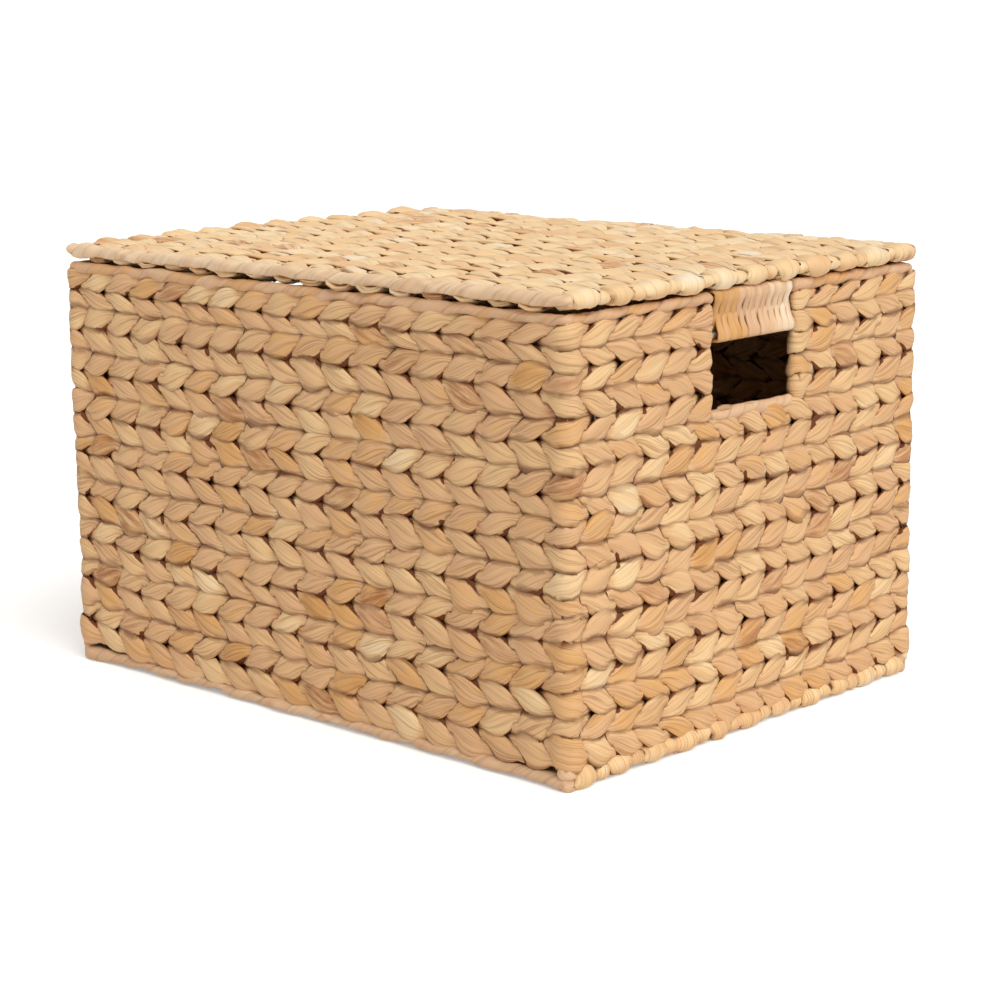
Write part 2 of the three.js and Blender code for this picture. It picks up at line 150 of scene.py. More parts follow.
def add_node(tree: bpy.types.NodeTree, kind: str, settings: dict[str, Any],
             links: dict[Any, Any]) -> bpy.types.Node:
    """Adds a node with its settings, input values and links.

    Args:
        tree: Node tree that gets the node.
        kind: Blender's name of the node type.
        settings: Properties of the node; "stops" holds the places and colours of a ramp.
        links: Input name or index to a value, or to the socket that feeds it.

    Returns:
        The new node.
    """
    node = tree.nodes.new(kind)
    for name, value in settings.items():
        if name == "stops":
            elements = node.color_ramp.elements
            while len(elements) < len(value):
                elements.new(1.0)
            for element, (place, colour) in zip(elements, value):
                element.position = place
                element.color = colour
        else:
            setattr(node, name, value)
    for name, value in links.items():
        if isinstance(value, bpy.types.NodeSocket):
            tree.links.new(value, node.inputs[name])
        else:
            node.inputs[name].default_value = value
    return node


@dataclass(frozen=True)
class Streaks:
    """Marks drawn out along a strand: their length, width and octaves."""

    run: float
    width: float
    detail: float = 2.0
    roughness: float = 0.6

    def draw(self, tree: bpy.types.NodeTree, grain: bpy.types.NodeSocket) -> bpy.types.NodeSocket:
        """Draws the marks in a material.

        Args:
            tree: Node tree of the material.
            grain: Grain coordinates in millimetres.

        Returns:
            Socket with the marks as noise from 0 to 1.
        """
        scale = (1.0 / self.run, 1.0 / self.width, 1.0 / self.width)
        scaled = add_node(tree, "ShaderNodeMapping", {}, {"Vector": grain, "Scale": scale})
        noise = add_node(tree, "ShaderNodeTexNoise", {"noise_dimensions": "3D"},
                         {"Vector": scaled.outputs[0], "Scale": 1.0, "Detail": self.detail,
                          "Roughness": self.roughness})
        return noise.outputs["Fac"]


@dataclass(frozen=True)
class HyacinthFinish:
    """Dried water hyacinth stalk, flattened and twisted by hand.

    The stalk is a matt, papery bundle of long fibres: the eye sees fine darker lines along it, broad bands
    where the skin dried at another rate, a new shade at every stitch and now and then a brown stain.
    Fibres are 0.2 to 0.4 mm in the real stalk; they are drawn 0.6 to 0.8 mm apart so that they show.
    """

    name: str
    tones: tuple[str, ...]
    seam: str
    stain: str
    seam_share: float
    # Colour multiplied in as painted shade: it starts crevice mm from where another surface meets the strand
    # and is full hollow mm past it.
    depth: str = "76502A"
    crevice: float = 1.15
    hollow: float = 0.6
    fibre: Streaks = Streaks(55.0, 0.75)
    fibre_from: float = 0.5
    fibre_to: float = 0.3
    crease: Streaks = Streaks(50.0, 1.3)
    crease_from: float = 0.43
    crease_to: float = 0.35
    crease_share: float = 1.2
    band: Streaks = Streaks(30.0, 5.0, 1.0)
    band_swing: float = 0.44
    streak: Streaks = Streaks(20.0, 2.4, 3.0)
    streak_from: float = 0.36
    streak_to: float = 0.62
    relief: float = 0.3
    relief_strength: float = 0.7
    fibre_relief: float = 0.8
    crease_relief: float = 0.8
    roughness: float = 0.62
    roughness_swing: float = 0.2
    ior: float = 1.45
    specular: float = 0.35

    def material(self) -> bpy.types.Material:
        """Builds the node material.

        Returns:
            The material, driven by the grain, tone, stain and fold attributes of the mesh.
        """
        made = new_material(self.name)
        tree = made.node_tree
        held = {name: add_node(tree, "ShaderNodeAttribute", {"attribute_name": name}, {}).outputs
                for name in ("grain", "tone", "stain", "fold")}
        fibres, creases, bands, streaks = (marks.draw(tree, held["grain"]["Vector"])
                                           for marks in (self.fibre, self.crease, self.band, self.streak))
        swing = add_node(tree, "ShaderNodeMath", {"operation": "MULTIPLY_ADD"},
                         {0: bands, 1: self.band_swing, 2: -self.band_swing / 2.0})
        shade = add_node(tree, "ShaderNodeMath", {"operation": "ADD", "use_clamp": True},
                         {0: held["tone"]["Fac"], 1: swing.outputs[0]})
        stops = [(k / (len(self.tones) - 1), linear(code)) for k, code in enumerate(self.tones)]
        skin = add_node(tree, "ShaderNodeValToRGB", {"stops": stops}, {"Fac": shade.outputs[0]})
        fine = add_node(tree, "ShaderNodeMapRange", {}, {
            "Value": fibres, "From Min": self.fibre_from, "From Max": self.fibre_to,
            "To Max": self.seam_share})
        bold = add_node(tree, "ShaderNodeMapRange", {}, {
            "Value": creases, "From Min": self.crease_from, "From Max": self.crease_to,
            "To Max": self.seam_share * self.crease_share})
        lines = add_node(tree, "ShaderNodeMath", {"operation": "MAXIMUM"},
                         {0: fine.outputs[0], 1: bold.outputs[0]})
        lined = add_node(tree, "ShaderNodeMix", {"data_type": "RGBA"},
                         {0: lines.outputs[0], MIX_A: skin.outputs["Color"], MIX_B: linear(self.seam)})
        patches = add_node(tree, "ShaderNodeMapRange", {}, {
            "Value": streaks, "From Min": self.streak_from, "From Max": self.streak_to})
        stained = add_node(tree, "ShaderNodeMath", {"operation": "MULTIPLY"},
                           {0: patches.outputs[0], 1: held["stain"]["Fac"]})
        colour = add_node(tree, "ShaderNodeMix", {"data_type": "RGBA"},
                          {0: stained.outputs[0], MIX_A: lined.outputs[MIX_OUT], MIX_B: linear(self.stain)})
        # Painted shade gathers where one stitch dives under the next: the colour is multiplied towards the
        # depth colour in a thin line along every edge.
        painted_shade = add_node(tree, "ShaderNodeMapRange", {}, {
            "Value": held["fold"]["Fac"], "From Min": self.crevice, "From Max": -self.hollow})
        shaded = add_node(tree, "ShaderNodeMix", {"data_type": "RGBA", "blend_type": "MULTIPLY"},
                          {0: painted_shade.outputs[0], MIX_A: colour.outputs[MIX_OUT], MIX_B: linear(self.depth)})
        rough = add_node(tree, "ShaderNodeMath", {"operation": "MULTIPLY_ADD"}, {
            0: fibres, 1: -self.roughness_swing, 2: self.roughness + self.roughness_swing / 2.0})
        ridges = add_node(tree, "ShaderNodeMath", {"operation": "MULTIPLY_ADD"},
                          {0: bold.outputs[0], 1: -self.crease_relief, 2: bands})
        height = add_node(tree, "ShaderNodeMath", {"operation": "MULTIPLY_ADD"},
                          {0: fibres, 1: self.fibre_relief, 2: ridges.outputs[0]})
        bump = add_node(tree, "ShaderNodeBump", {}, {
            "Strength": self.relief_strength, "Distance": self.relief * MM, "Height": height.outputs[0]})
        shader = add_node(tree, "ShaderNodeBsdfPrincipled", {}, {
            "Base Color": shaded.outputs[MIX_OUT], "Roughness": rough.outputs[0],
            "Normal": bump.outputs["Normal"], "IOR": self.ior, "Specular IOR Level": self.specular})
        add_node(tree, "ShaderNodeOutputMaterial", {}, {"Surface": shader.outputs["BSDF"]})
        return made


@dataclass(frozen=True)
class WireFinish:
    """Galvanised steel wire, drawn and zinc dipped: dull pale grey with a faint mottle and soft gloss."""

    name: str = "galvanised_steel_wire"
    zinc: str = "AAA294"
    dull: str = "978B79"
    mottle: float = 3.0
    mottle_detail: float = 3.0
    metallic: float = 0.85
    roughness: float = 0.42
    roughness_swing: float = 0.2

    def material(self) -> bpy.types.Material:
        """Builds the node material of the wires.

        Returns:
            The material.
        """
        made = new_material(self.name)
        tree = made.node_tree
        place = add_node(tree, "ShaderNodeTexCoord", {}, {}).outputs["Object"]
        spots = add_node(tree, "ShaderNodeTexNoise", {}, {
            "Vector": place, "Scale": 1.0 / (self.mottle * MM), "Detail": self.mottle_detail})
        colour = add_node(tree, "ShaderNodeMix", {"data_type": "RGBA"},
                          {0: spots.outputs["Fac"], MIX_A: linear(self.zinc), MIX_B: linear(self.dull)})
        rough = add_node(tree, "ShaderNodeMath", {"operation": "MULTIPLY_ADD"}, {
            0: spots.outputs["Fac"], 1: self.roughness_swing, 2: self.roughness - self.roughness_swing / 2.0})
        shader = add_node(tree, "ShaderNodeBsdfPrincipled", {}, {
            "Base Color": colour.outputs[MIX_OUT], "Roughness": rough.outputs[0], "Metallic": self.metallic})
        add_node(tree, "ShaderNodeOutputMaterial", {}, {"Surface": shader.outputs["BSDF"]})
        return made


@dataclass(frozen=True)
class FloorFinish:
    """Matt white paper sweep: white where it is lit, and it keeps the soft shadow of the box.

    The tooth of real paper is far finer than a pixel, so it is drawn as very faint waves 40 mm wide.
    """

    name: str = "matt_white_paper"
    paper: str = "F4F3F1"
    tooth: float = 40.0
    tooth_strength: float = 0.02
    lift: float = 0.3

    def material(self) -> bpy.types.Material:
        """Builds the node material of the floor.

        Returns:
            The material.
        """
        made = new_material(self.name)
        tree = made.node_tree
        place = add_node(tree, "ShaderNodeTexCoord", {}, {}).outputs["Object"]
        tooth = add_node(tree, "ShaderNodeTexNoise", {}, {"Vector": place, "Scale": 1.0 / (self.tooth * MM)})
        bump = add_node(tree, "ShaderNodeBump", {},
                        {"Strength": self.tooth_strength, "Height": tooth.outputs["Fac"]})
        matt = add_node(tree, "ShaderNodeBsdfDiffuse", {},
                        {"Color": linear(self.paper), "Normal": bump.outputs["Normal"]})
        level = add_node(tree, "ShaderNodeMath", {"operation": "MULTIPLY"},
                         {0: background_rays(tree), 1: self.lift})
        glow = add_node(tree, "ShaderNodeEmission", {}, {"Color": grey(1.0), "Strength": level.outputs[0]})
        both = add_node(tree, "ShaderNodeAddShader", {}, {0: matt.outputs[0], 1: glow.outputs[0]})
        add_node(tree, "ShaderNodeOutputMaterial", {}, {"Surface": both.outputs[0]})
        return made


def background_rays(tree: bpy.types.NodeTree) -> bpy.types.NodeSocket:
    """Tells the rays that look at the background from those that light the box.

    Args:
        tree: Node tree of the floor or the world.

    Returns:
        Socket that is 1 for a ray from the camera, off a gloss or through a clear piece, and 0 otherwise.
    """
    rays = add_node(tree, "ShaderNodeLightPath", {}, {}).outputs
    turned = add_node(tree, "ShaderNodeMath", {"operation": "ADD"},
                      {0: rays["Is Glossy Ray"], 1: rays["Is Transmission Ray"]})
    seen = add_node(tree, "ShaderNodeMath", {"operation": "ADD", "use_clamp": True},
                    {0: rays["Is Camera Ray"], 1: turned.outputs[0]})
    return seen.outputs[0]


# Twined stalk of the walls and the base: straw to honey, with clear brown fibre lines.
WALL_STRAND = HyacinthFinish(
    "dried_water_hyacinth_strand",
    ("EAD1AC", "EFCC9A", "E4BA86", "DCAE81", "DFAC70", "CD9658", "B37F4C"),
    seam="8C5E36", stain="9A5A30", seam_share=0.4)
# Paler, younger stalk of the lid: its fibre lines are fainter and its painted crevice shade narrower.
LID_STRAND = HyacinthFinish(
    "pale_water_hyacinth_strand",
    ("F0DCBE", "EFD2A5", "EAC594", "E4BA8A", "E3B177", "D39C60"),
    seam="A8753F", stain="B06A38", seam_share=0.22, crevice=0.7, fibre=Streaks(55.0, 0.6))
# Split skin wound tight on the rods: smoother, with a rosy cast and little change from turn to turn.
WOUND_STRIP = HyacinthFinish(
    "split_water_hyacinth_strip",
    ("F3DCBE", "EBCBA6", "E0B992", "D7AC86", "D8A468", "C08C50"),
    seam="9A6B42", stain="95603C", seam_share=0.2,
    fibre=Streaks(55.0, 0.8), crease=Streaks(50.0, 3.0), band=Streaks(60.0, 5.0, 1.0), relief=0.25)


@dataclass
class Skin:
    """Swept surface: rings of points with grain and shade, and their distance from a crevice, which sets the
    painted shade.
    """

    points: Array
    grain: Array
    tone: Array
    stain: Array
    fold: Array
    closed: bool


def join_skins(name: str, skins: Sequence[Skin]) -> bpy.types.Mesh:
    """Makes one mesh of several swept surfaces.

    Args:
        name: Name of the mesh.
        skins: Surfaces to join; open ones get end caps.

    Returns:
        Mesh in metres with the grain, tone, stain and fold attributes.
    """
    faces: list[Sequence[int]] = []
    start = 0
    for skin in skins:
        rings, ring = skin.points.shape[:2]
        rows = np.arange(rings if skin.closed else rings - 1)
        here = np.arange(ring)
        i, k = np.meshgrid(rows, here, indexing="ij")
        after = (i + 1) % rings
        beside = (k + 1) % ring
        quads = np.stack([i * ring + k, i * ring + beside, after * ring + beside, after * ring + k], axis=-1)
        faces.extend((quads.reshape(-1, 4) + start).tolist())
        if not skin.closed:
            faces.append((start + here[::-1]).tolist())
            faces.append((start + (rings - 1) * ring + here).tolist())
        start += rings * ring
    mesh = bpy.data.meshes.new(name)
    mesh.from_pydata((np.concatenate([s.points.reshape(-1, 3) for s in skins]) * MM).tolist(), [], faces)
    mesh.polygons.foreach_set("use_smooth", np.ones(len(faces), dtype=bool))
    grain = np.concatenate([s.grain.reshape(-1, 3) for s in skins]).astype(np.float32)
    mesh.attributes.new("grain", "FLOAT_VECTOR", "POINT").data.foreach_set("vector", grain.ravel())
    for key in ("tone", "stain", "fold"):
        flat = np.concatenate([getattr(s, key).ravel() for s in skins]).astype(np.float32)
        mesh.attributes.new(key, "FLOAT", "POINT").data.foreach_set("value", flat)
    mesh.update()
    return mesh


@dataclass
class Dressing:
    """Where a piece belongs: its body and material; its slot is held here but not given to the piece."""

    body: Body
    slot: Slot
    material: bpy.types.Material

    def place(self, name: str, skins: Sequence[Skin], nodes: Sequence[str]) -> None:
        """Makes a piece of the object.

        Args:
            name: Name of the piece.
            skins: Its surfaces.
            nodes: Solids that it stands for.
        """
        mesh = join_skins(name, skins)
        mesh.materials.append(self.material)
        piece = bpy.data.objects.new(name, mesh)
        bpy.context.scene.collection.objects.link(piece)
        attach(piece, self.body.value)
        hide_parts(*nodes)
        LOG.info("%s: %d faces on %s", name, len(mesh.polygons), self.body.value)


def node_box(node: str) -> tuple[Array, Array]:
    """Lowest and highest corner of a solid, in millimetres."""
    low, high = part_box(node)
    return np.array(low) / MM, np.array(high) / MM


def ease(x: Array) -> Array:
    """Smooth step from 0 to 1."""
    held = np.clip(x, 0.0, 1.0)
    return held * held * (3.0 - 2.0 * held)


def end_share(t: Array, bays: int) -> Array:
    """Nearness to the ends of a row of bays, 1 at an end and close to 0 from the first stitch on."""
    return np.exp(-(np.minimum(t, bays - t) / END_RUN) ** 2)


def lengths_along(line: Array) -> Array:
    """Length gone at every point of a line."""
    return np.concatenate([[0.0], np.cumsum(np.linalg.norm(np.diff(line, axis=0), axis=1))])


def wander(rng: np.random.Generator, places: Array, run: float, size: float) -> Array:
    """Slow random swing along a line.

    Args:
        rng: Random numbers.
        places: Lengths along the line.
        run: Length of a swing.
        size: Usual size of a swing.

    Returns:
        The swing at each place.
    """
    knots = rng.standard_normal(int(places[-1] / run) + 3) * size
    low = np.floor(places / run).astype(int)
    share = ease(places / run - low)
    return knots[low] * (1.0 - share) + knots[low + 1] * share


def sweep(centre: Array, side: Array, width: Array, thick: Array, roll: Array, swell: Array, tone: Array,
          stain: Array, closed: bool, start: float) -> Skin:
    """Sweeps a flattened round section along a line.

    Args:
        centre: Points of the line.
        side: Direction in which the section is wide.
        width: Width of the section at each point.
        thick: Thickness of the section at each point.
        roll: Turn of the section about the line, in radians.
        swell: Relative swell of the outline, one row for each point of the line.
        tone: Shade at each point.
        stain: Stain at each point.
        closed: Whether the line joins up.
        start: Grain coordinate at the first point.

    Returns:
        The swept surface.
    """
    if closed:
        ahead = np.roll(centre, -1, axis=0) - np.roll(centre, 1, axis=0)
    else:
        ahead = np.gradient(centre, axis=0)
    ahead /= np.linalg.norm(ahead, axis=1, keepdims=True)
    wide = side - ahead * np.sum(side * ahead, axis=1, keepdims=True)
    wide /= np.linalg.norm(wide, axis=1, keepdims=True)
    deep = np.cross(ahead, wide)
    cos_roll, sin_roll = np.cos(roll)[:, None], np.sin(roll)[:, None]
    wide, deep = wide * cos_roll + deep * sin_roll, deep * cos_roll - wide * sin_roll
    ring = swell.shape[1]
    angle = np.linspace(0.0, FULL_TURN, ring, endpoint=False)
    across = (width / 2.0)[:, None] * np.cos(angle) * swell
    through = (thick / 2.0)[:, None] * np.sin(angle) * swell
    points = centre[:, None, :] + across[..., None] * wide[:, None, :] + through[..., None] * deep[:, None, :]
    along = np.broadcast_to((start + lengths_along(centre))[:, None], across.shape)
    grain = np.stack([along, np.broadcast_to(np.mean(width) / 2.0 * np.cos(angle), across.shape),
                      np.broadcast_to(np.mean(thick) / 2.0 * np.sin(angle), across.shape)], axis=-1)
    # Distance from the section's edge, so that the material paints shade along the edges of every strand.
    edge = (width / 2.0)[:, None] * (1.0 - np.abs(np.cos(angle))) + EDGE_GAP
    return Skin(points, grain, np.repeat(tone[:, None], ring, axis=1),
                np.repeat(stain[:, None], ring, axis=1), edge, closed)


@dataclass
class Strand:
    """Swept strand with what its neighbours need to know of it, ring by ring.

    The slot is the place along the weave and the lane tells the two strands of a course apart. Across, out,
    half and thick give the middle, level, half width and thickness of a ring, spread and side its points.
    """

    skin: Skin
    slot: Array
    lane: Array
    across: Array
    out: Array
    half: Array
    thick: Array
    spread: Array
    side: Array


def mark_crevices(courses: Sequence[Sequence[Strand]]) -> None:
    """Finds how far every point of a weave is from where the surface of another strand meets it; the material
    paints shade from this distance.

    Args:
        courses: Strands of each course; at a slot along the weave a course has two lanes, one over the other.
    """
    slots = 1 + max(int(strand.slot.max()) for course in courses for strand in course)
    table = np.full((4, len(courses), 2, slots), np.nan)
    for k, course in enumerate(courses):
        for strand in course:
            on = strand.lane >= 0
            for row, values in enumerate((strand.across, strand.out, strand.half, strand.thick)):
                table[row, k, strand.lane[on], strand.slot[on]] = values[on]
    for k, course in enumerate(courses):
        for strand in course:
            face = np.sign(strand.side)
            level = (strand.out[:, None] + strand.side) * face
            for j in range(max(k - 1, 0), min(k + 2, len(courses))):
                for lane in (0, 1):
                    across, out, half, thick = table[:, j, lane, strand.slot][..., None]
                    other = (strand.lane >= 0) & ((j != k) | (strand.lane != lane))
                    aside = np.abs(strand.spread - across)
                    dome = thick / 2.0 * np.sqrt(np.clip(1.0 - (aside / half) ** 2, 0.0, 1.0))
                    gap = np.maximum(aside - half, level - out * face - dome)
                    nearer = np.fmin(strand.skin.fold, gap)
                    strand.skin.fold = np.where(other[:, None], nearer, strand.skin.fold)


@dataclass
class Stitches:
    """Seeded differences between the stitches along one strand."""

    rng: np.random.Generator
    count: int
    tone: float = 0.45
    tone_spread: float = 0.12
    stain_share: float = 0.06
    stain_range: tuple[float, float] = (0.4, 0.9)
    size_spread: float = 0.1
    lift_spread: float = 0.4
    roll_spread: float = 5.0
    crease_spread: float = 0.035
    crease_modes: tuple[int, ...] = (2, 3, 4, 5, 6, 7)
    stalk_length: float = 5000.0
    hold: float = 0.3
    values: dict[str, Array] = field(default_factory=dict)

    def __post_init__(self) -> None:
        """Draws the values of every stitch."""
        rng, count = self.rng, self.count
        self.values["width"] = 1.0 + self.size_spread * rng.standard_normal(count)
        self.values["thick"] = 1.0 + self.size_spread * rng.standard_normal(count)
        self.values["lift"] = self.lift_spread * rng.standard_normal(count)
        self.values["roll"] = math.radians(self.roll_spread) * rng.standard_normal(count)
        self.values["crest"] = 1.0 + self.size_spread * rng.standard_normal(count)
        self.values["tone"] = self.tone + self.tone_spread * rng.standard_normal(count)
        stained = rng.random(count) < self.stain_share
        self.values["stain"] = np.where(stained, rng.uniform(*self.stain_range, count), 0.0)
        self.waves = rng.standard_normal((count, 2 * len(self.crease_modes))) * self.crease_spread
        self.start = rng.uniform(0.0, self.stalk_length)

    def blend(self, q: Array) -> tuple[Array, Array, Array]:
        """Finds the two stitches next to each place and the share of the second."""
        low = np.floor(q).astype(int)
        return low % self.count, (low + 1) % self.count, ease((q - low - self.hold) / (1.0 - 2.0 * self.hold))

    def at(self, name: str, q: Array) -> Array:
        """Value of a stitch at places along the strand, blended under the crossings.

        Args:
            name: Name of the value.
            q: Places along the strand, in stitches.

        Returns:
            The value at each place.
        """
        low, high, share = self.blend(q)
        drawn = self.values[name]
        return drawn[low] * (1.0 - share) + drawn[high] * share

    def swell(self, q: Array, ring: int) -> Array:
        """Lengthwise creases of the stalk as a relative swell of its section.

        Args:
            q: Places along the strand, in stitches.
            ring: Points round the section.

        Returns:
            One row of swell factors for each place.
        """
        low, high, share = self.blend(q)
        mixed = self.waves[low] * (1.0 - share)[:, None] + self.waves[high] * share[:, None]
        modes = np.array(self.crease_modes)[:, None] * np.linspace(0.0, FULL_TURN, ring, endpoint=False)
        return 1.0 + mixed @ np.concatenate([np.cos(modes), np.sin(modes)])


@dataclass
class WallPath:
    """Line round the walls through the corner posts, counter-clockwise from the middle of the right end."""

    half_x: float
    half_y: float
    bend: float = 1.4
    bend_points: int = 25
    step: float = 0.25

    def __post_init__(self) -> None:
        """Lays out the line as closely spaced points with their heading."""
        x, y, bend = self.half_x, self.half_y, self.bend
        centres = ((x - bend, y - bend), (bend - x, y - bend), (bend - x, bend - y), (x - bend, bend - y))
        middle = np.array([[x, 0.0]])
        corners = [middle]
        for k, centre in enumerate(centres):
            angle = math.pi * (k / 2.0 + np.linspace(0.0, 0.5, self.bend_points))
            corners.append(np.array(centre) + bend * np.stack([np.cos(angle), np.sin(angle)], axis=1))
        line = np.concatenate(corners + [middle])
        gone = lengths_along(line)
        self.length = float(gone[-1])
        self.arc = np.arange(0.0, self.length, self.step)
        self.xy = np.stack([np.interp(self.arc, gone, line[:, k]) for k in (0, 1)], axis=1)
        ahead = np.roll(self.xy, -1, axis=0) - np.roll(self.xy, 1, axis=0)
        self.heading = np.unwrap(np.arctan2(ahead[:, 1], ahead[:, 0]))

    def arc_of(self, x: float, y: float) -> float:
        """Length along the line at the point nearest to a place."""
        return float(self.arc[np.argmin(np.hypot(self.xy[:, 0] - x, self.xy[:, 1] - y))])

    def locate(self, arc: Array) -> tuple[Array, Array, Array]:
        """Finds points on the line.

        Args:
            arc: Lengths along the line.

        Returns:
            Points, directions along the line and outward directions.
        """
        arc = np.mod(arc, self.length)
        gone = np.append(self.arc, self.length)
        x = np.interp(arc, gone, np.append(self.xy[:, 0], self.xy[0, 0]))
        y = np.interp(arc, gone, np.append(self.xy[:, 1], self.xy[0, 1]))
        turn = np.interp(arc, gone, np.append(self.heading, self.heading[0] + FULL_TURN))
        flat = np.zeros_like(x)
        along = np.stack([np.cos(turn), np.sin(turn), flat], axis=1)
        out = np.stack([np.sin(turn), -np.cos(turn), flat], axis=1)
        return np.stack([x, y, flat], axis=1), along, out


@dataclass(frozen=True)
class Twining:
    """Proportions of two strands twined round a row of wires, and the points along and round a stitch."""

    depth: float = 2.3
    back: float = 3.0
    rise: float = 3.8
    crest: float = 16.8
    cross: float = 9.0
    thick: float = 3.8
    leaf: float = 1.1
    bias: float = 0.2
    steps: int = 10
    ring: int = 20

    def strand(self, tau: Array, slant: Slant) -> tuple[Array, Array, Array]:
        """Course of a strand past its wires.

        Args:
            tau: Places in bays; the strand is outermost at even ones.
            slant: Lean of the stitches.

        Returns:
            Outward offset, sideways offset and width of the strand.
        """
        cos, sin = np.cos(math.pi * tau), np.sin(math.pi * tau)
        out = np.where(cos > 0.0, self.depth * cos, -self.back * cos * cos) + self.bias
        width = self.cross + (self.crest - self.cross) * np.abs(cos) ** self.leaf
        return out, slant.value * self.rise * sin, width


@dataclass
class OpenLoop:
    """One strand that runs out along a row of wires, turns round the last one and twines back with itself."""

    twining: Twining
    bays: int
    end_depth: float
    end_reach: float
    end_width: tuple[float, float]
    slant: Slant

    def plan(self) -> dict[str, Array]:
        """Lays out the loop.

        Returns:
            Places in bays, outward, sideways and lengthwise offsets, width, stitch number and lane, by name.
        """
        bays, steps = self.bays, self.twining.steps
        run = np.arange(0, bays * steps) / steps
        turn = np.arange(0, steps) / steps * math.pi
        still = np.zeros(steps)
        parts: dict[str, list[Array]] = {k: [] for k in ("t", "out", "rise", "reach", "width", "q", "lane")}

        def add(*stretch: Array) -> None:
            """Adds one stretch of the loop."""
            for key, value in zip(parts, stretch):
                parts[key].append(value)

        for back in (False, True):
            t = bays - run if back else run
            phase = 1.0 if back else 0.0
            first_q = bays + 1 if back else 0
            out, rise, width = self.twining.strand(t + phase, self.slant)
            near = end_share(t, bays)
            end = self.end_width[0] * (t < bays / 2) + self.end_width[1] * (t >= bays / 2)
            out = out * (1.0 - near) + near * self.end_depth * np.cos(math.pi * (t + phase))
            width = width + near * (end - self.twining.crest)
            add(t, out, rise, 0.0 * t, width, run + first_q, np.full(len(t), int(back)))
            stop = 0.0 if back else float(bays)
            sign = math.cos(math.pi * (stop + phase))
            reach = self.end_reach * np.sin(turn) * (-1.0 if back else 1.0)
            add(still + stop, sign * self.end_depth * np.cos(turn), still, reach,
                still + self.end_width[0 if back else 1], bays + first_q + turn / math.pi, np.full(steps, -1))
        # The loop starts one bay in, where the strand is behind its wire and its join is out of sight.
        return {key: np.roll(np.concatenate(value), -steps) for key, value in parts.items()}


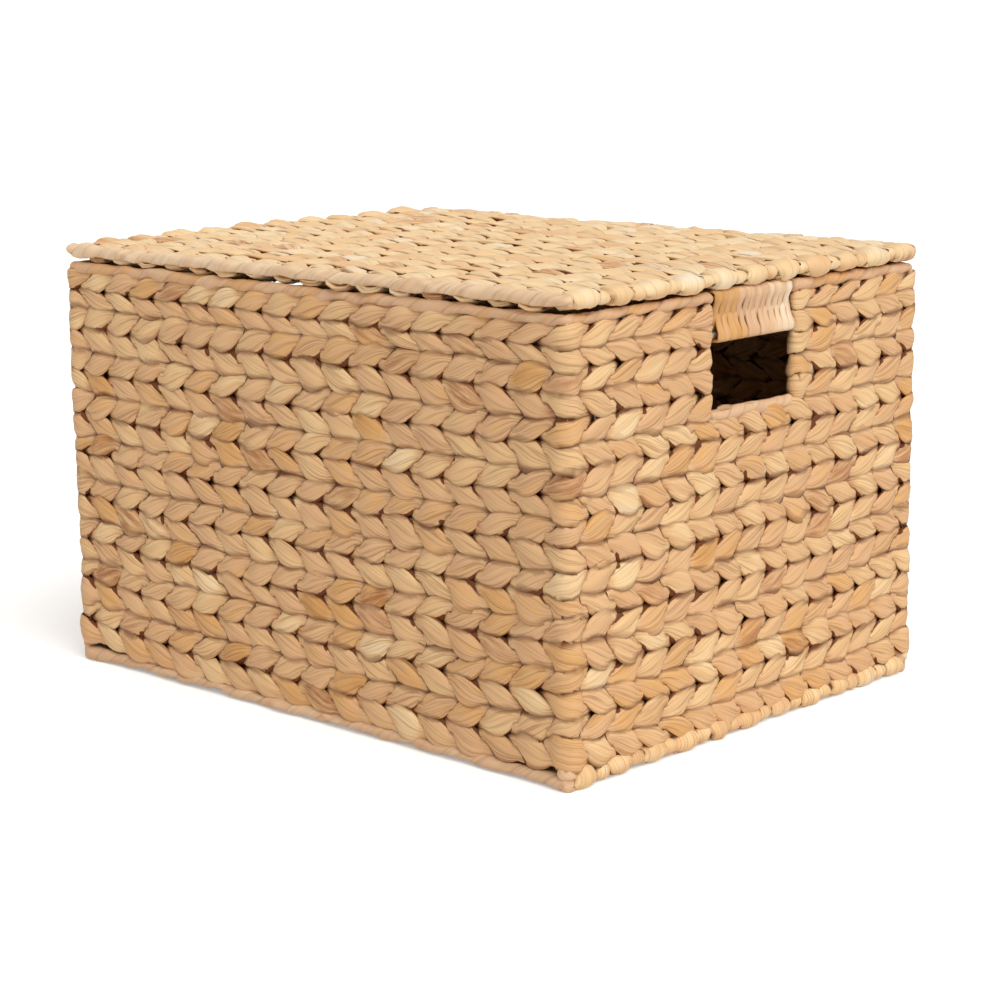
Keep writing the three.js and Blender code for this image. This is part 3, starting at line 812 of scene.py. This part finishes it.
@dataclass
class WallWeave:
    """Eighteen twined courses: full rounds below the hand-holes, and two half rounds beside them."""

    material: bpy.types.Material
    seed: int = 11
    foot_gap: float = 0.8
    corner_lift: float = 5.0
    corner_run: float = 42.0
    corner_wrap: float = 9.0
    corner_tuck: float = 0.6
    corner_push: float = 0.4
    foot_push: float = 1.9
    jamb_depth: float = 3.0
    jamb_reach: float = 4.0
    jamb_width: float = 15.0
    twining: Twining = Twining()

    def __post_init__(self) -> None:
        """Takes the sizes from the solids."""
        low, high = node_box("front_weave")
        self.path = WallPath(high[0] - (high[1] - low[1]) / 2.0, -(low[1] + high[1]) / 2.0)
        self.bottom, self.top = node_box("base_winding_front")[1][2] + self.foot_gap, high[2]
        self.sill = node_box("right_lower_weave")[1][2]
        self.grip = node_box("grip_winding_right")[0][2]
        self.post_y = -node_box("right_front_weave")[1][1] + POST_INSET
        x, y = self.path.half_x, self.path.half_y
        self.long_x = np.linspace(-x, x, round(2.0 * x / STAKE_SPACING) + 1)
        side = np.linspace(self.post_y, y, round((y - self.post_y) / STAKE_SPACING) + 1)
        sill = np.linspace(-self.post_y, self.post_y, round(2.0 * self.post_y / STAKE_SPACING) + 1)
        end_y = np.concatenate([-side[:0:-1], sill, side[1:]])
        stakes = [(x, v) for v in end_y if v >= -SAME] + [(v, y) for v in self.long_x[-2:0:-1]]
        stakes += [(-x, v) for v in end_y[::-1]] + [(v, -y) for v in self.long_x[1:-1]]
        stakes += [(x, v) for v in end_y if v < -SAME]
        self.stakes = stakes
        self.arcs = np.array([self.path.arc_of(*stake) for stake in stakes] + [self.path.length])
        self.posts = [k for k, stake in enumerate(stakes) if self.is_corner(*stake)]
        self.jambs = [k for k, (sx, sy) in enumerate(stakes)
                      if abs(abs(sy) - self.post_y) < SAME and abs(sx) == x]

    def is_corner(self, x: float, y: float) -> bool:
        """Whether a stake is one of the corner posts."""
        return abs(abs(x) - self.path.half_x) + abs(abs(y) - self.path.half_y) < SAME

    def levels(self) -> list[tuple[float, float]]:
        """Finds the courses' places.

        Returns:
            Middle height and pitch of every course, from the lowest up.
        """
        lower = round((self.sill - self.bottom) / COURSE_PITCH)
        beside = round((self.grip - self.sill) / COURSE_PITCH)
        rows = []
        for low, high, count in ((self.bottom, self.sill, lower), (self.sill, self.grip, beside),
                                 (self.grip, self.top, RIM_COURSES)):
            pitch = (high - low) / count
            rows += [(low + (k + 0.5) * pitch, pitch) for k in range(count)]
        return rows

    def arc_at(self, t: Array) -> Array:
        """Length along the wall at places in stakes."""
        return np.interp(np.mod(t, len(self.stakes)), np.arange(len(self.arcs)), self.arcs)

    def corner_share(self, t: Array, run: float) -> Array:
        """Nearness to the closest corner post.

        Args:
            t: Places in stakes.
            run: Length along the wall over which it falls off.

        Returns:
            Share from 0 to 1 at the post.
        """
        arc, length = self.arc_at(t), self.path.length
        gaps = [np.abs((arc - self.arcs[p] + length / 2.0) % length - length / 2.0) for p in self.posts]
        return np.exp(-(np.min(gaps, axis=0) / run) ** 2)

    def lay(self, loop: dict[str, Array], level: float, pitch: float, stitches: Stitches) -> Strand:
        """Sweeps one strand along the wall.

        Args:
            loop: Places in stakes, offsets, widths, stitch numbers and lanes, as an OpenLoop plans them.
            level: Middle height of the course.
            pitch: Height of the course.
            stitches: Differences between the stitches.

        Returns:
            The swept strand.
        """
        t, q = loop["t"], loop["q"]
        base, along, outward = self.path.locate(self.arc_at(t))
        corner = self.corner_share(t, self.corner_wrap)
        share = (level - self.bottom) / (self.top - self.bottom)
        lift = self.corner_lift * (1.0 - share) * self.corner_share(t, self.corner_run)
        size = pitch / COURSE_PITCH
        out = loop["out"] * stitches.at("crest", q)
        push = self.corner_push + (self.foot_push if level - pitch < self.bottom else 0.0)
        out = np.where(out < 0.0, out * (1.0 - self.corner_tuck * corner), out + push * corner)
        height = level + lift + loop["rise"] * size + stitches.at("lift", q)
        centre = base + along * loop["reach"][:, None] + outward * out[:, None] + UP * height[:, None]
        wide = loop["width"] * size * stitches.at("width", q)
        thick = self.twining.thick * stitches.at("thick", q)
        skin = sweep(centre, UP, wide, thick, stitches.at("roll", q), stitches.swell(q, self.twining.ring),
                     stitches.at("tone", q), stitches.at("stain", q), True, stitches.start)
        slot = np.round(t * self.twining.steps).astype(int) % (len(self.stakes) * self.twining.steps)
        side = np.sum((skin.points - centre[:, None]) * outward[:, None], axis=2)
        return Strand(skin, slot, loop["lane"], height, out, wide / 2.0, thick, skin.points[..., 2], side)

    def round_course(self, rng: np.random.Generator, level: float, pitch: float,
                     slant: Slant) -> list[Strand]:
        """Twines a course that goes all the way round.

        Args:
            rng: Random numbers.
            level: Middle height of the course.
            pitch: Height of the course.
            slant: Lean of the stitches.

        Returns:
            Its two strands.
        """
        bays = len(self.stakes)
        run = np.arange(bays * self.twining.steps) / self.twining.steps
        strands = []
        for phase in (0, 1):
            t = run + 1.0 - phase
            out, rise, width = self.twining.strand(t + phase, slant)
            loop = {"t": t, "out": out, "rise": rise, "reach": 0.0 * t, "width": width, "q": t,
                    "lane": np.full(len(t), phase)}
            strands.append(self.lay(loop, level, pitch, Stitches(rng, bays)))
        return strands

    def half_course(self, rng: np.random.Generator, level: float, pitch: float,
                    slant: Slant) -> list[Strand]:
        """Twines a course that turns back round the posts of both hand-holes.

        Args:
            rng: Random numbers.
            level: Middle height of the course.
            pitch: Height of the course.
            slant: Lean of the stitches.

        Returns:
            Its strands, one on each long wall.
        """
        strands = []
        for first, last in (self.jambs[:2], self.jambs[2:]):
            bays = last - first
            loop = OpenLoop(self.twining, bays, self.jamb_depth, self.jamb_reach,
                            (self.jamb_width, self.jamb_width), slant).plan()
            loop["t"] = loop["t"] + first
            strands.append(self.lay(loop, level, pitch, Stitches(rng, 2 * bays + 2)))
        return strands

    def build(self) -> None:
        """Makes every course as a piece."""
        rng = np.random.default_rng(self.seed)
        dress = Dressing(Body.BOX, Slot.STRAND, self.material)
        rows = self.levels()
        courses = []
        for k, (level, pitch) in enumerate(rows):
            from_top = len(rows) - 1 - k
            slant = Slant.FALLING if from_top % 2 else Slant.RISING
            twine = self.round_course if level < self.sill else self.half_course
            courses.append(twine(rng, level, pitch, slant))
        mark_crevices(courses)
        for k, (level, _) in enumerate(rows):
            fields = ("lower",) if level < self.sill else ("front", "back")
            nodes = ["front_weave", "back_weave"]
            nodes += [f"{end}_{part}_weave" for end in ("right", "left") for part in fields]
            dress.place(f"wall_course_{k + 1:02d}", [strand.skin for strand in courses[k]], nodes)


@dataclass(frozen=True)
class Knobs:
    """Rounded turns of a panel's lines round its end rods, wide and slim by turns."""

    wide: float
    slim: float
    depth: float
    reach: float
    thick: float
    shift: float
    spread: float = 0.08
    slim_depth: float = 0.28
    slim_reach: float = 0.35
    calm_lift: float = 0.5
    calm_roll: float = 0.7


@dataclass(frozen=True)
class Scallops:
    """Lower stitches of a panel's front line, which hang plump under the wound front edge."""

    sag: float = 2.45
    fullness: float = 0.6
    forward: float = 4.8
    level: float = 0.5


@dataclass
class PanelWeave:
    """Lid or base: twined lines along the length that turn round the end rods as knobs."""

    name: str
    dress: Dressing
    seed: int
    tone: float
    knobs: Knobs
    twining: Twining
    scallops: Scallops | None = None
    fields: tuple[str, ...] = ("front", "middle", "back")

    def __post_init__(self) -> None:
        """Takes the sizes from the solid."""
        self.node = f"{self.name}_weave"
        low, high = node_box(self.node)
        self.level = (low[2] + high[2]) / 2.0
        rod_x = high[0] - (high[2] - low[2]) / 2.0
        self.lines = round((high[1] - low[1]) / LINE_PITCH)
        self.pitch = (high[1] - low[1]) / self.lines
        self.first_y = low[1] + self.pitch / 2.0
        self.wires = np.linspace(-rod_x, rod_x, round(2.0 * rod_x / STAKE_SPACING) + 1)

    def line(self, rng: np.random.Generator, number: int) -> Strand:
        """One line of the panel.

        Args:
            rng: Random numbers.
            number: Place of the line, counted from the front.

        Returns:
            The swept strand.
        """
        knobs, twining = self.knobs, self.twining
        bays = len(self.wires) - 1
        slant = Slant.RISING if number % 2 else Slant.FALLING
        sizes = (knobs.wide, knobs.slim) if number % 2 else (knobs.slim, knobs.wide)
        left, right = (size * rng.uniform(1.0 - knobs.spread, 1.0 + knobs.spread) for size in sizes)
        loop = OpenLoop(twining, bays, knobs.depth, knobs.reach, (left, right), slant).plan()
        stitches = Stitches(rng, 2 * bays + 2, self.tone)
        q, t = loop["q"], loop["t"]
        near = end_share(t, bays)
        bulk = np.where(t < bays / 2, left, right) / max(knobs.wide, knobs.slim)
        out = loop["out"] * stitches.at("crest", q) * (1.0 - near * knobs.slim_depth * (1.0 - bulk))
        out = out + near * knobs.shift
        x = np.interp(t, np.arange(bays + 1), self.wires)
        x = x + loop["reach"] * (1.0 - knobs.slim_reach * (1.0 - bulk))
        lift = stitches.at("lift", q) * (1.0 - knobs.calm_lift * near)
        y = self.first_y + number * self.pitch + loop["rise"] + lift
        if number == 0 and self.scallops:
            hang = self.scallops
            low = np.clip(-out / twining.depth, 0.0, 1.0) ** hang.fullness
            out = np.where(out < 0.0, -twining.depth * low * (1.0 + hang.sag * (1.0 - near)), out)
            y = y - (hang.forward + hang.level * loop["rise"]) * low * (1.0 - near)
        centre = np.stack([x, y, self.level + out], axis=1)
        thick = twining.thick * (1.0 - near) + knobs.thick * bulk * near
        thick = thick * stitches.at("thick", q)
        wide = loop["width"] * stitches.at("width", q)
        roll = stitches.at("roll", q) * (1.0 - knobs.calm_roll * near)
        skin = sweep(centre, ACROSS, wide, thick, roll, stitches.swell(q, twining.ring),
                     stitches.at("tone", q), stitches.at("stain", q), True, stitches.start)
        skin.points[..., 2] = np.maximum(skin.points[..., 2], FLOOR_GAP)
        slot = np.round(t * twining.steps).astype(int)
        side = skin.points[..., 2] - centre[:, None, 2]
        return Strand(skin, slot, loop["lane"], y, out, wide / 2.0, thick, skin.points[..., 1], side)

    def build(self) -> None:
        """Makes the lines in a few fields."""
        rng = np.random.default_rng(self.seed)
        lines = [self.line(rng, k) for k in range(self.lines)]
        mark_crevices([[line] for line in lines])
        skins = [line.skin for line in lines]
        share = math.ceil(self.lines / len(self.fields))
        for k, part in enumerate(self.fields):
            self.dress.place(f"{self.name}_lines_{part}", skins[k * share:(k + 1) * share], [self.node])


@dataclass
class WoundRod:
    """Edge rod bound with a flat strip, each turn lapping a little over the last."""

    dress: Dressing
    strip: float = 26.0
    lap: float = 0.5
    lap_step: float = 0.6
    crown: float = 0.5
    lump: float = 0.25
    creases: int = 5
    crease: float = 0.05
    swing: float = 0.3
    swing_run: float = 11.0
    oval: float = 0.09
    oval_modes: tuple[int, ...] = (2, 3)
    oval_turn: float = 2.0
    flare_run: float = 20.0
    round_end: float = 0.8
    least_end: float = 0.02
    tone_spread: float = 0.06
    turn_grain: tuple[float, float, float] = (90.0, 5.0, 7.0)
    step: float = 1.2
    least_rings: int = 8
    ring: int = 20

    def bind(self, line: Array, side: Array, radius: float, rng: np.random.Generator, tone: float,
             flare: float = 0.0) -> Skin:
        """Binds a strip round a line.

        Args:
            line: Points of the rod's axis.
            side: Direction across the rod.
            radius: Outer radius of the binding.
            rng: Random numbers.
            tone: Mean shade.
            flare: How much thicker the binding is at its ends.

        Returns:
            The bound surface, rounded off at both ends.
        """
        gone = lengths_along(line)
        places = np.linspace(0.0, gone[-1], max(self.least_rings, round(gone[-1] / self.step)))
        centre = np.stack([np.interp(places, gone, line[:, k]) for k in range(3)], axis=1)
        angle = np.linspace(0.0, FULL_TURN, self.ring, endpoint=False)
        wound = places[:, None] / self.strip + angle / FULL_TURN + rng.random()
        turns = np.floor(wound).astype(int)
        part = wound - turns
        turns -= turns.min()
        count = turns.max() + 2
        slack = rng.standard_normal(count) * self.lump
        crown = np.sin(math.pi * np.clip(part, 0.0, 1.0)) ** 0.5
        relief = self.lap * (1.0 - part) * self.lap_step + slack[turns] * crown
        relief += self.lap * self.crown * crown
        creases = rng.standard_normal((count, self.creases)) * self.crease
        waves = sum(creases[turns, k] * np.cos((k + 1) * FULL_TURN * part) for k in range(self.creases))
        relief += waves * crown
        drift = [wander(rng, places, self.swing_run, self.swing) for _ in range(3)]
        to_end = np.minimum(places, gone[-1] - places)
        thicker = drift[0] + flare * np.exp(-(to_end / self.flare_run) ** 2)
        swell = (radius - self.lap * self.lap_step + relief + thicker[:, None]) / radius
        for mode in self.oval_modes:
            turned = mode * angle + wander(rng, places, self.swing_run * 2.0, self.oval_turn)[:, None]
            swell += wander(rng, places, self.swing_run, self.oval)[:, None] * np.cos(turned)
        edge = np.clip(to_end / (radius * self.round_end), self.least_end, 1.0)
        swell *= np.sqrt(edge * (2.0 - edge))[:, None]
        size = np.full(len(places), radius * 2.0)
        flat = np.zeros(len(places))
        ahead = np.gradient(centre, axis=0)
        ahead /= np.linalg.norm(ahead, axis=1, keepdims=True)
        centre = centre + side * drift[1][:, None] + np.cross(ahead, side) * drift[2][:, None]
        shades = np.clip(tone + self.tone_spread * rng.standard_normal(count), 0.0, 1.0)
        skin = sweep(centre, side, size, size, flat, swell, flat, flat, False, 0.0)
        skin.tone = shades[turns]
        # Distance from the edges of each turn, so that the material paints shade along the laps.
        skin.fold = np.minimum(part, 1.0 - part) * self.strip / 2.0 + 2.0 * EDGE_GAP
        skin.grain[..., 0] = places[:, None] + turns * self.turn_grain[0]
        skin.grain[..., 1] = part * radius * self.turn_grain[1]
        skin.grain[..., 2] = turns * self.turn_grain[2]
        return skin


@dataclass
class Edges:
    """Wound rods: rim, sills, base edges, lid edges and the corner posts with their thicker feet."""

    material: bpy.types.Material
    path: WallPath
    seed: int = 29
    grip_lap: float = 2.5
    rim_step: float = 0.5
    rim_tone: float = 0.62
    sill_tone: float = 0.5
    base_tone: float = 0.45
    base_flare: float = 1.3
    lid_tone: float = 0.25
    foot_radius: float = 4.5
    foot_low: float = 4.0
    foot_head: float = 5.0
    foot_tone: float = 0.4
    post_radius: float = 3.1
    post_run: float = 12.0
    post_tone: float = 0.5

    def rod_of(self, node: str) -> tuple[Array, float]:
        """Reads a straight wound rod from its solid's box.

        Args:
            node: Name of the solid.

        Returns:
            Both ends of its axis, and its radius.
        """
        low, high = node_box(node)
        span = high - low
        along = int(np.argmax(span))
        ends = np.stack([(low + high) / 2.0] * 2)
        ends[:, along] = low[along], high[along]
        return ends, float(np.min(span)) / 2.0

    def build(self) -> None:
        """Makes every wound rod as a piece."""
        rng = np.random.default_rng(self.seed)
        box = WoundRod(Dressing(Body.BOX, Slot.STRIP, self.material))
        lid = WoundRod(Dressing(Body.LID, Slot.STRIP, self.material))
        self.build_rim(box, rng)
        runs = [(f"sill_winding_{end}", box, self.sill_tone, 0.0) for end in ("right", "left")]
        runs += [(f"base_winding_{part}", box, self.base_tone, self.base_flare) for part in ("front", "back")]
        runs += [(f"lid_winding_{part}", lid, self.lid_tone, 0.0) for part in ("front", "back")]
        for node, rod, tone, flare in runs:
            ends, radius = self.rod_of(node)
            skin = rod.bind(ends, UP, radius, rng, tone, flare)
            skin.points[..., 2] = np.maximum(skin.points[..., 2], FLOOR_GAP)
            rod.dress.place(node.replace("winding", "binding"), [skin], [node])
        self.build_posts(box, rng)

    def build_rim(self, rod: WoundRod, rng: np.random.Generator) -> None:
        """Makes the back and front halves of the rim, from grip to grip.

        Args:
            rod: How the rim is bound.
            rng: Random numbers.
        """
        ends, radius = self.rod_of("rim_winding_front")
        hole = -node_box("right_front_weave")[1][1]
        x = self.path.half_x
        for part, sign in (("back", 1.0), ("front", -1.0)):
            first = self.path.arc_of(sign * x, sign * hole) - self.grip_lap
            last = self.path.arc_of(-sign * x, sign * hole) + self.grip_lap
            line = self.path.locate(np.arange(first, last, self.rim_step))[0] + UP * ends[0, 2]
            skin = rod.bind(line, UP, radius, rng, self.rim_tone)
            nodes = [f"rim_winding_{part}", f"rim_winding_right_{part}", f"rim_winding_left_{part}"]
            rod.dress.place(f"rim_binding_{part}", [skin], nodes)

    def build_posts(self, rod: WoundRod, rng: np.random.Generator) -> None:
        """Makes the bindings at the foot and the head of every corner post.

        Args:
            rod: How the posts are bound.
            rng: Random numbers.
        """
        rim_z = self.rod_of("rim_winding_front")[0][0, 2]
        for part in ("front_left", "front_right", "back_left", "back_right"):
            node = f"post_winding_{part}"
            low, high = node_box(node)
            skins = []
            for foot, head, radius, tone in (
                    (low[2] - self.foot_low, high[2] + self.foot_head, self.foot_radius, self.foot_tone),
                    (rim_z - self.post_run, rim_z, self.post_radius, self.post_tone)):
                ends = np.stack([(low + high) / 2.0] * 2)
                ends[:, 2] = foot, head
                skins.append(rod.bind(ends, ACROSS, radius, rng, tone))
            rod.dress.place(f"post_binding_{part}", skins, [node])


@dataclass
class Grip:
    """Rim rod and grip rod bound together with a strip in figure-of-eight turns."""

    dress: Dressing
    side: str
    seed: int
    turns: int = 13
    strip: float = 7.2
    waist: float = 5.4
    waist_run: float = 0.75
    thick: float = 2.0
    sway: float = 0.5
    sway_run: float = 0.5
    hug: float = 0.62
    bow: float = 1.22
    bow_waist: float = 0.75
    rod_from: float = 0.1
    tone: float = 0.5
    tone_spread: float = 0.13
    fade: float = 1.1
    steps: int = 40
    ring: int = 12

    def build(self, rim_z: float) -> None:
        """Makes the wound grip.

        Args:
            rim_z: Height of the rim rod.
        """
        node = f"grip_winding_{self.side}"
        low, high = node_box(node)
        rng = np.random.default_rng(self.seed)
        reach = (high[0] - low[0]) / 2.0 - self.thick / 2.0
        grip_z = low[2] + (high[0] - low[0]) / 2.0
        middle, half = (rim_z + grip_z) / 2.0, (rim_z - grip_z) / 2.0
        turn = np.arange(self.turns * self.steps + 1) / self.steps
        swing = FULL_TURN * turn
        top = np.cos(swing)
        z = middle + np.sign(top) * np.abs(top) ** self.hug * (half + reach)
        on_rod = ease((np.abs(top) - self.rod_from) / self.waist_run)
        bow = self.bow_waist + (1.0 - self.bow_waist) * on_rod
        x = np.clip(reach * self.bow * np.sin(2.0 * swing) * bow, -reach, reach)
        room = (high[1] - low[1]) - self.strip
        y = low[1] + self.strip / 2.0 + room * turn / self.turns
        inner = np.clip(np.minimum(turn, self.turns - turn), 0.0, 1.0)
        y += wander(rng, turn, self.sway_run, self.sway) * inner
        centre = np.stack([(low[0] + high[0]) / 2.0 + x, y, z], axis=1)
        q = turn * 2.0
        stitches = Stitches(rng, 2 * self.turns + 2, self.tone, self.tone_spread, stain_share=0.0)
        width = self.waist + (self.strip - self.waist) * ease(np.abs(top) / self.waist_run)
        tone = stitches.at("tone", q) + self.fade * (0.5 - turn / self.turns)
        flat = np.zeros(len(turn))
        skin = sweep(centre, ACROSS, width * stitches.at("width", q), np.full(len(turn), self.thick), flat,
                     stitches.swell(q, self.ring), np.clip(tone, 0.0, 1.0), stitches.at("stain", q), False,
                     stitches.start)
        self.dress.place(f"grip_binding_{self.side}", [skin], [node])


@dataclass
class HingeTie:
    """Strip wound a few times round the back rim and the lid's back rod: the hinge."""

    dress: Dressing
    part: str
    seed: int
    turns: int = 4
    strip: float = 2.8
    thick: float = 1.4
    tuck: float = 1.6
    straight: float = 4.0
    tone: float = 0.35
    steps: int = 32
    ring: int = 10

    def build(self) -> None:
        """Makes the tie."""
        node = f"hinge_tie_{self.part}"
        low, high = node_box(node)
        rng = np.random.default_rng(self.seed)
        reach = (high[1] - low[1]) / 2.0 - self.thick / 2.0
        middle = (low + high) / 2.0
        half = (high[2] - low[2]) / 2.0 - self.thick / 2.0 - reach
        turn = np.arange(self.turns * self.steps + 1) / self.steps
        rise = np.sin(FULL_TURN * turn)
        z = middle[2] + reach * rise + half * np.clip(rise * self.straight, -1.0, 1.0)
        z -= self.tuck * ease(rise)
        y = middle[1] + reach * np.cos(FULL_TURN * turn)
        room = (high[0] - low[0]) - self.strip
        x = low[0] + self.strip / 2.0 + room * turn / self.turns
        stitches = Stitches(rng, self.turns * 2 + 2, self.tone)
        q = turn * 2.0
        flat = np.zeros(len(turn))
        skin = sweep(np.stack([x, y, z], axis=1), RIGHT, self.strip * stitches.at("width", q),
                     np.full(len(turn), self.thick), flat, stitches.swell(q, self.ring),
                     np.clip(stitches.at("tone", q), 0.0, 1.0), flat, False, stitches.start)
        self.dress.place(f"hinge_binding_{self.part}", [skin], [node])


@dataclass
class WireFrame:
    """Welded wire frames of the body and the lid, as round wires."""

    material: bpy.types.Material
    walls: WallWeave
    points: int = 12
    ring: int = 12

    def wire(self, first: Sequence[float], last: Sequence[float], thick: float) -> Skin:
        """Draws one straight round wire.

        Args:
            first: Its first end.
            last: Its last end.
            thick: Its diameter.

        Returns:
            The wire's surface.
        """
        line = np.linspace(np.array(first, dtype=float), np.array(last, dtype=float), self.points)
        side = UP if abs(line[-1, 2] - line[0, 2]) < SAME else ACROSS
        flat = np.zeros(len(line))
        size = np.full(len(line), thick)
        return sweep(line, side, size, size, flat, np.ones((len(line), self.ring)), flat, flat, False, 0.0)

    def ring_of(self, x: float, y: float, z: float) -> list[Skin]:
        """Draws the four edge wires of a level rectangle.

        Args:
            x: Half its length.
            y: Half its depth.
            z: Its height.

        Returns:
            The long wires and the short ones.
        """
        made = [self.wire((-x, s * y, z), (x, s * y, z), EDGE_WIRE) for s in (-1, 1)]
        return made + [self.wire((s * x, -y, z), (s * x, y, z), EDGE_WIRE) for s in (-1, 1)]

    def cross_wires(self, y: float, z: float) -> list[Skin]:
        """Thin wires from front to back, one at each stake of the long walls."""
        return [self.wire((x, -y, z), (x, y, z), STAKE_WIRE) for x in self.walls.long_x[1:-1]]

    def build(self) -> None:
        """Makes both frames."""
        walls = self.walls
        x, y, post_y = walls.path.half_x, walls.path.half_y, walls.post_y
        low, high = node_box("wire_frame")
        slack = EDGE_WIRE / 2.0
        base_z, rim_z = low[2] + slack, high[2] - slack
        sill_low, sill_high = node_box("sill_winding_right")
        sill_z = (sill_low[2] + sill_high[2]) / 2.0
        grip_low, grip_high = node_box("grip_winding_right")
        grip_z = grip_low[2] + (grip_high[0] - grip_low[0]) / 2.0
        body = self.ring_of(x, y, base_z) + self.ring_of(x, y, rim_z)
        for end in (-x, x):
            body += [self.wire((end, -post_y, z), (end, post_y, z), EDGE_WIRE) for z in (sill_z, grip_z)]
        for sx, sy in walls.stakes:
            in_hole = abs(abs(sx) - x) < SAME and abs(sy) < post_y - SAME
            head_z = sill_z if in_hole else rim_z - slack
            thick = EDGE_WIRE if walls.is_corner(sx, sy) else STAKE_WIRE
            body.append(self.wire((sx, sy, base_z), (sx, sy, head_z), thick))
        body += self.cross_wires(y, base_z)
        Dressing(Body.BOX, Slot.WIRE, self.material).place("body_wires", body, ["wire_frame"])
        low, high = node_box("lid_weave")
        rod_x, lid_z = high[0] - (high[2] - low[2]) / 2.0, (low[2] + high[2]) / 2.0
        lid = self.ring_of(rod_x, y, lid_z) + self.cross_wires(y, lid_z)
        Dressing(Body.LID, Slot.WIRE, self.material).place("lid_wires", lid, ["lid_wire_frame"])


@dataclass
class Studio:
    """White paper floor, soft light and the camera at the photograph's viewing angle.

    The floor is in metres, the eye in millimetres, and angles are in degrees.
    """

    azimuth: float = -43.19
    elevation: float = -11.62
    roll: float = -0.61
    eye: tuple[float, float, float] = (1056.5, -1120.7, 430.0)
    focal_pixels: float = 2479.6
    frame_pixels: float = 984.0
    sensor: float = 36.0
    nearest: float = 0.01
    farthest: float = 200.0
    floor_half: float = 60.0
    key_from: tuple[float, float, float] = (0.588, -0.196, 0.784)
    key_level: float = 2.3
    key_angle: float = 50.0
    fill_level: float = 0.46

    def camera(self) -> None:
        """Makes the camera."""
        lens = bpy.data.cameras.new("camera")
        lens.sensor_width = self.sensor
        lens.lens = self.sensor * self.focal_pixels / self.frame_pixels
        lens.clip_start = self.nearest
        lens.clip_end = self.farthest
        a, e = math.radians(self.azimuth), math.radians(self.elevation)
        ahead = Vector((math.sin(a) * math.cos(e), math.cos(a) * math.cos(e), math.sin(e)))
        turn = ahead.to_track_quat("-Z", "Y").to_matrix().to_4x4()
        turn = turn @ Matrix.Rotation(math.radians(self.roll), 4, "Z")
        eye = bpy.data.objects.new("camera", lens)
        eye.matrix_world = Matrix.Translation(Vector(self.eye) * MM) @ turn
        bpy.context.scene.collection.objects.link(eye)
        bpy.context.scene.camera = eye

    def light(self) -> None:
        """Makes the key light and the even fill."""
        lamp = bpy.data.lights.new("key", "SUN")
        lamp.energy = self.key_level
        lamp.angle = math.radians(self.key_angle)
        key = bpy.data.objects.new("key", lamp)
        key.rotation_euler = Vector(self.key_from).to_track_quat("Z", "Y").to_euler()
        bpy.context.scene.collection.objects.link(key)
        world = bpy.data.worlds.new("studio")
        bpy.context.scene.world = world
        world.use_nodes = True
        tree = world.node_tree
        tree.nodes.clear()
        level = add_node(tree, "ShaderNodeMath", {"operation": "MULTIPLY_ADD"},
                         {0: background_rays(tree), 1: 1.0 - self.fill_level, 2: self.fill_level})
        sky = add_node(tree, "ShaderNodeBackground", {}, {"Color": grey(1.0), "Strength": level.outputs[0]})
        add_node(tree, "ShaderNodeOutputWorld", {}, {"Surface": sky.outputs[0]})

    def floor(self) -> None:
        """Makes the floor under the box."""
        half = self.floor_half
        corners = [(-half, -half, 0), (half, -half, 0), (half, half, 0), (-half, half, 0)]
        mesh = bpy.data.meshes.new("floor")
        mesh.from_pydata(corners, [], [(0, 1, 2, 3)])
        mesh.materials.append(FloorFinish().material())
        floor = bpy.data.objects.new("floor", mesh)
        bpy.context.scene.collection.objects.link(floor)

    def build(self) -> None:
        """Sets up the studio."""
        self.camera()
        self.light()
        self.floor()


def main() -> None:
    """Builds every sub-assembly and the studio."""
    logging.basicConfig(level=logging.INFO, format="%(name)s %(message)s")
    bpy.context.scene.view_settings.view_transform = "Standard"
    strand, lid_strand = WALL_STRAND.material(), LID_STRAND.material()
    strip, wire = WOUND_STRIP.material(), WireFinish().material()
    walls = WallWeave(strand)
    walls.build()
    PanelWeave(
        "lid", Dressing(Body.LID, Slot.LID, lid_strand), seed=17, tone=0.35,
        knobs=Knobs(wide=20.0, slim=11.0, depth=2.3, reach=3.2, thick=7.2, shift=-0.5),
        twining=Twining(depth=1.5, back=3.0, rise=4.6, crest=17.4, cross=12.0, thick=4.8, bias=0.8),
        scallops=Scallops()).build()
    PanelWeave(
        "base", Dressing(Body.BOX, Slot.STRAND, strand), seed=19, tone=0.25,
        knobs=Knobs(wide=18.0, slim=12.5, depth=2.4, reach=2.8, thick=7.2, shift=0.9),
        twining=Twining(depth=1.8, back=2.4, rise=4.0, crest=16.4, cross=12.5, thick=4.0, bias=0.3,
                        steps=8, ring=12)).build()
    Edges(strip, walls.path).build()
    rim_low, rim_high = node_box("rim_winding_front")
    for seed, side in enumerate(("right", "left"), GRIP_SEED):
        Grip(Dressing(Body.BOX, Slot.STRIP, strip), side, seed).build((rim_low[2] + rim_high[2]) / 2.0)
    for seed, part in enumerate(("left", "middle", "right"), TIE_SEED):
        HingeTie(Dressing(Body.LID, Slot.STRIP, strip), part, seed).build()
    WireFrame(wire, walls).build()
    Studio().build()


if __name__ == "__main__":
    main()
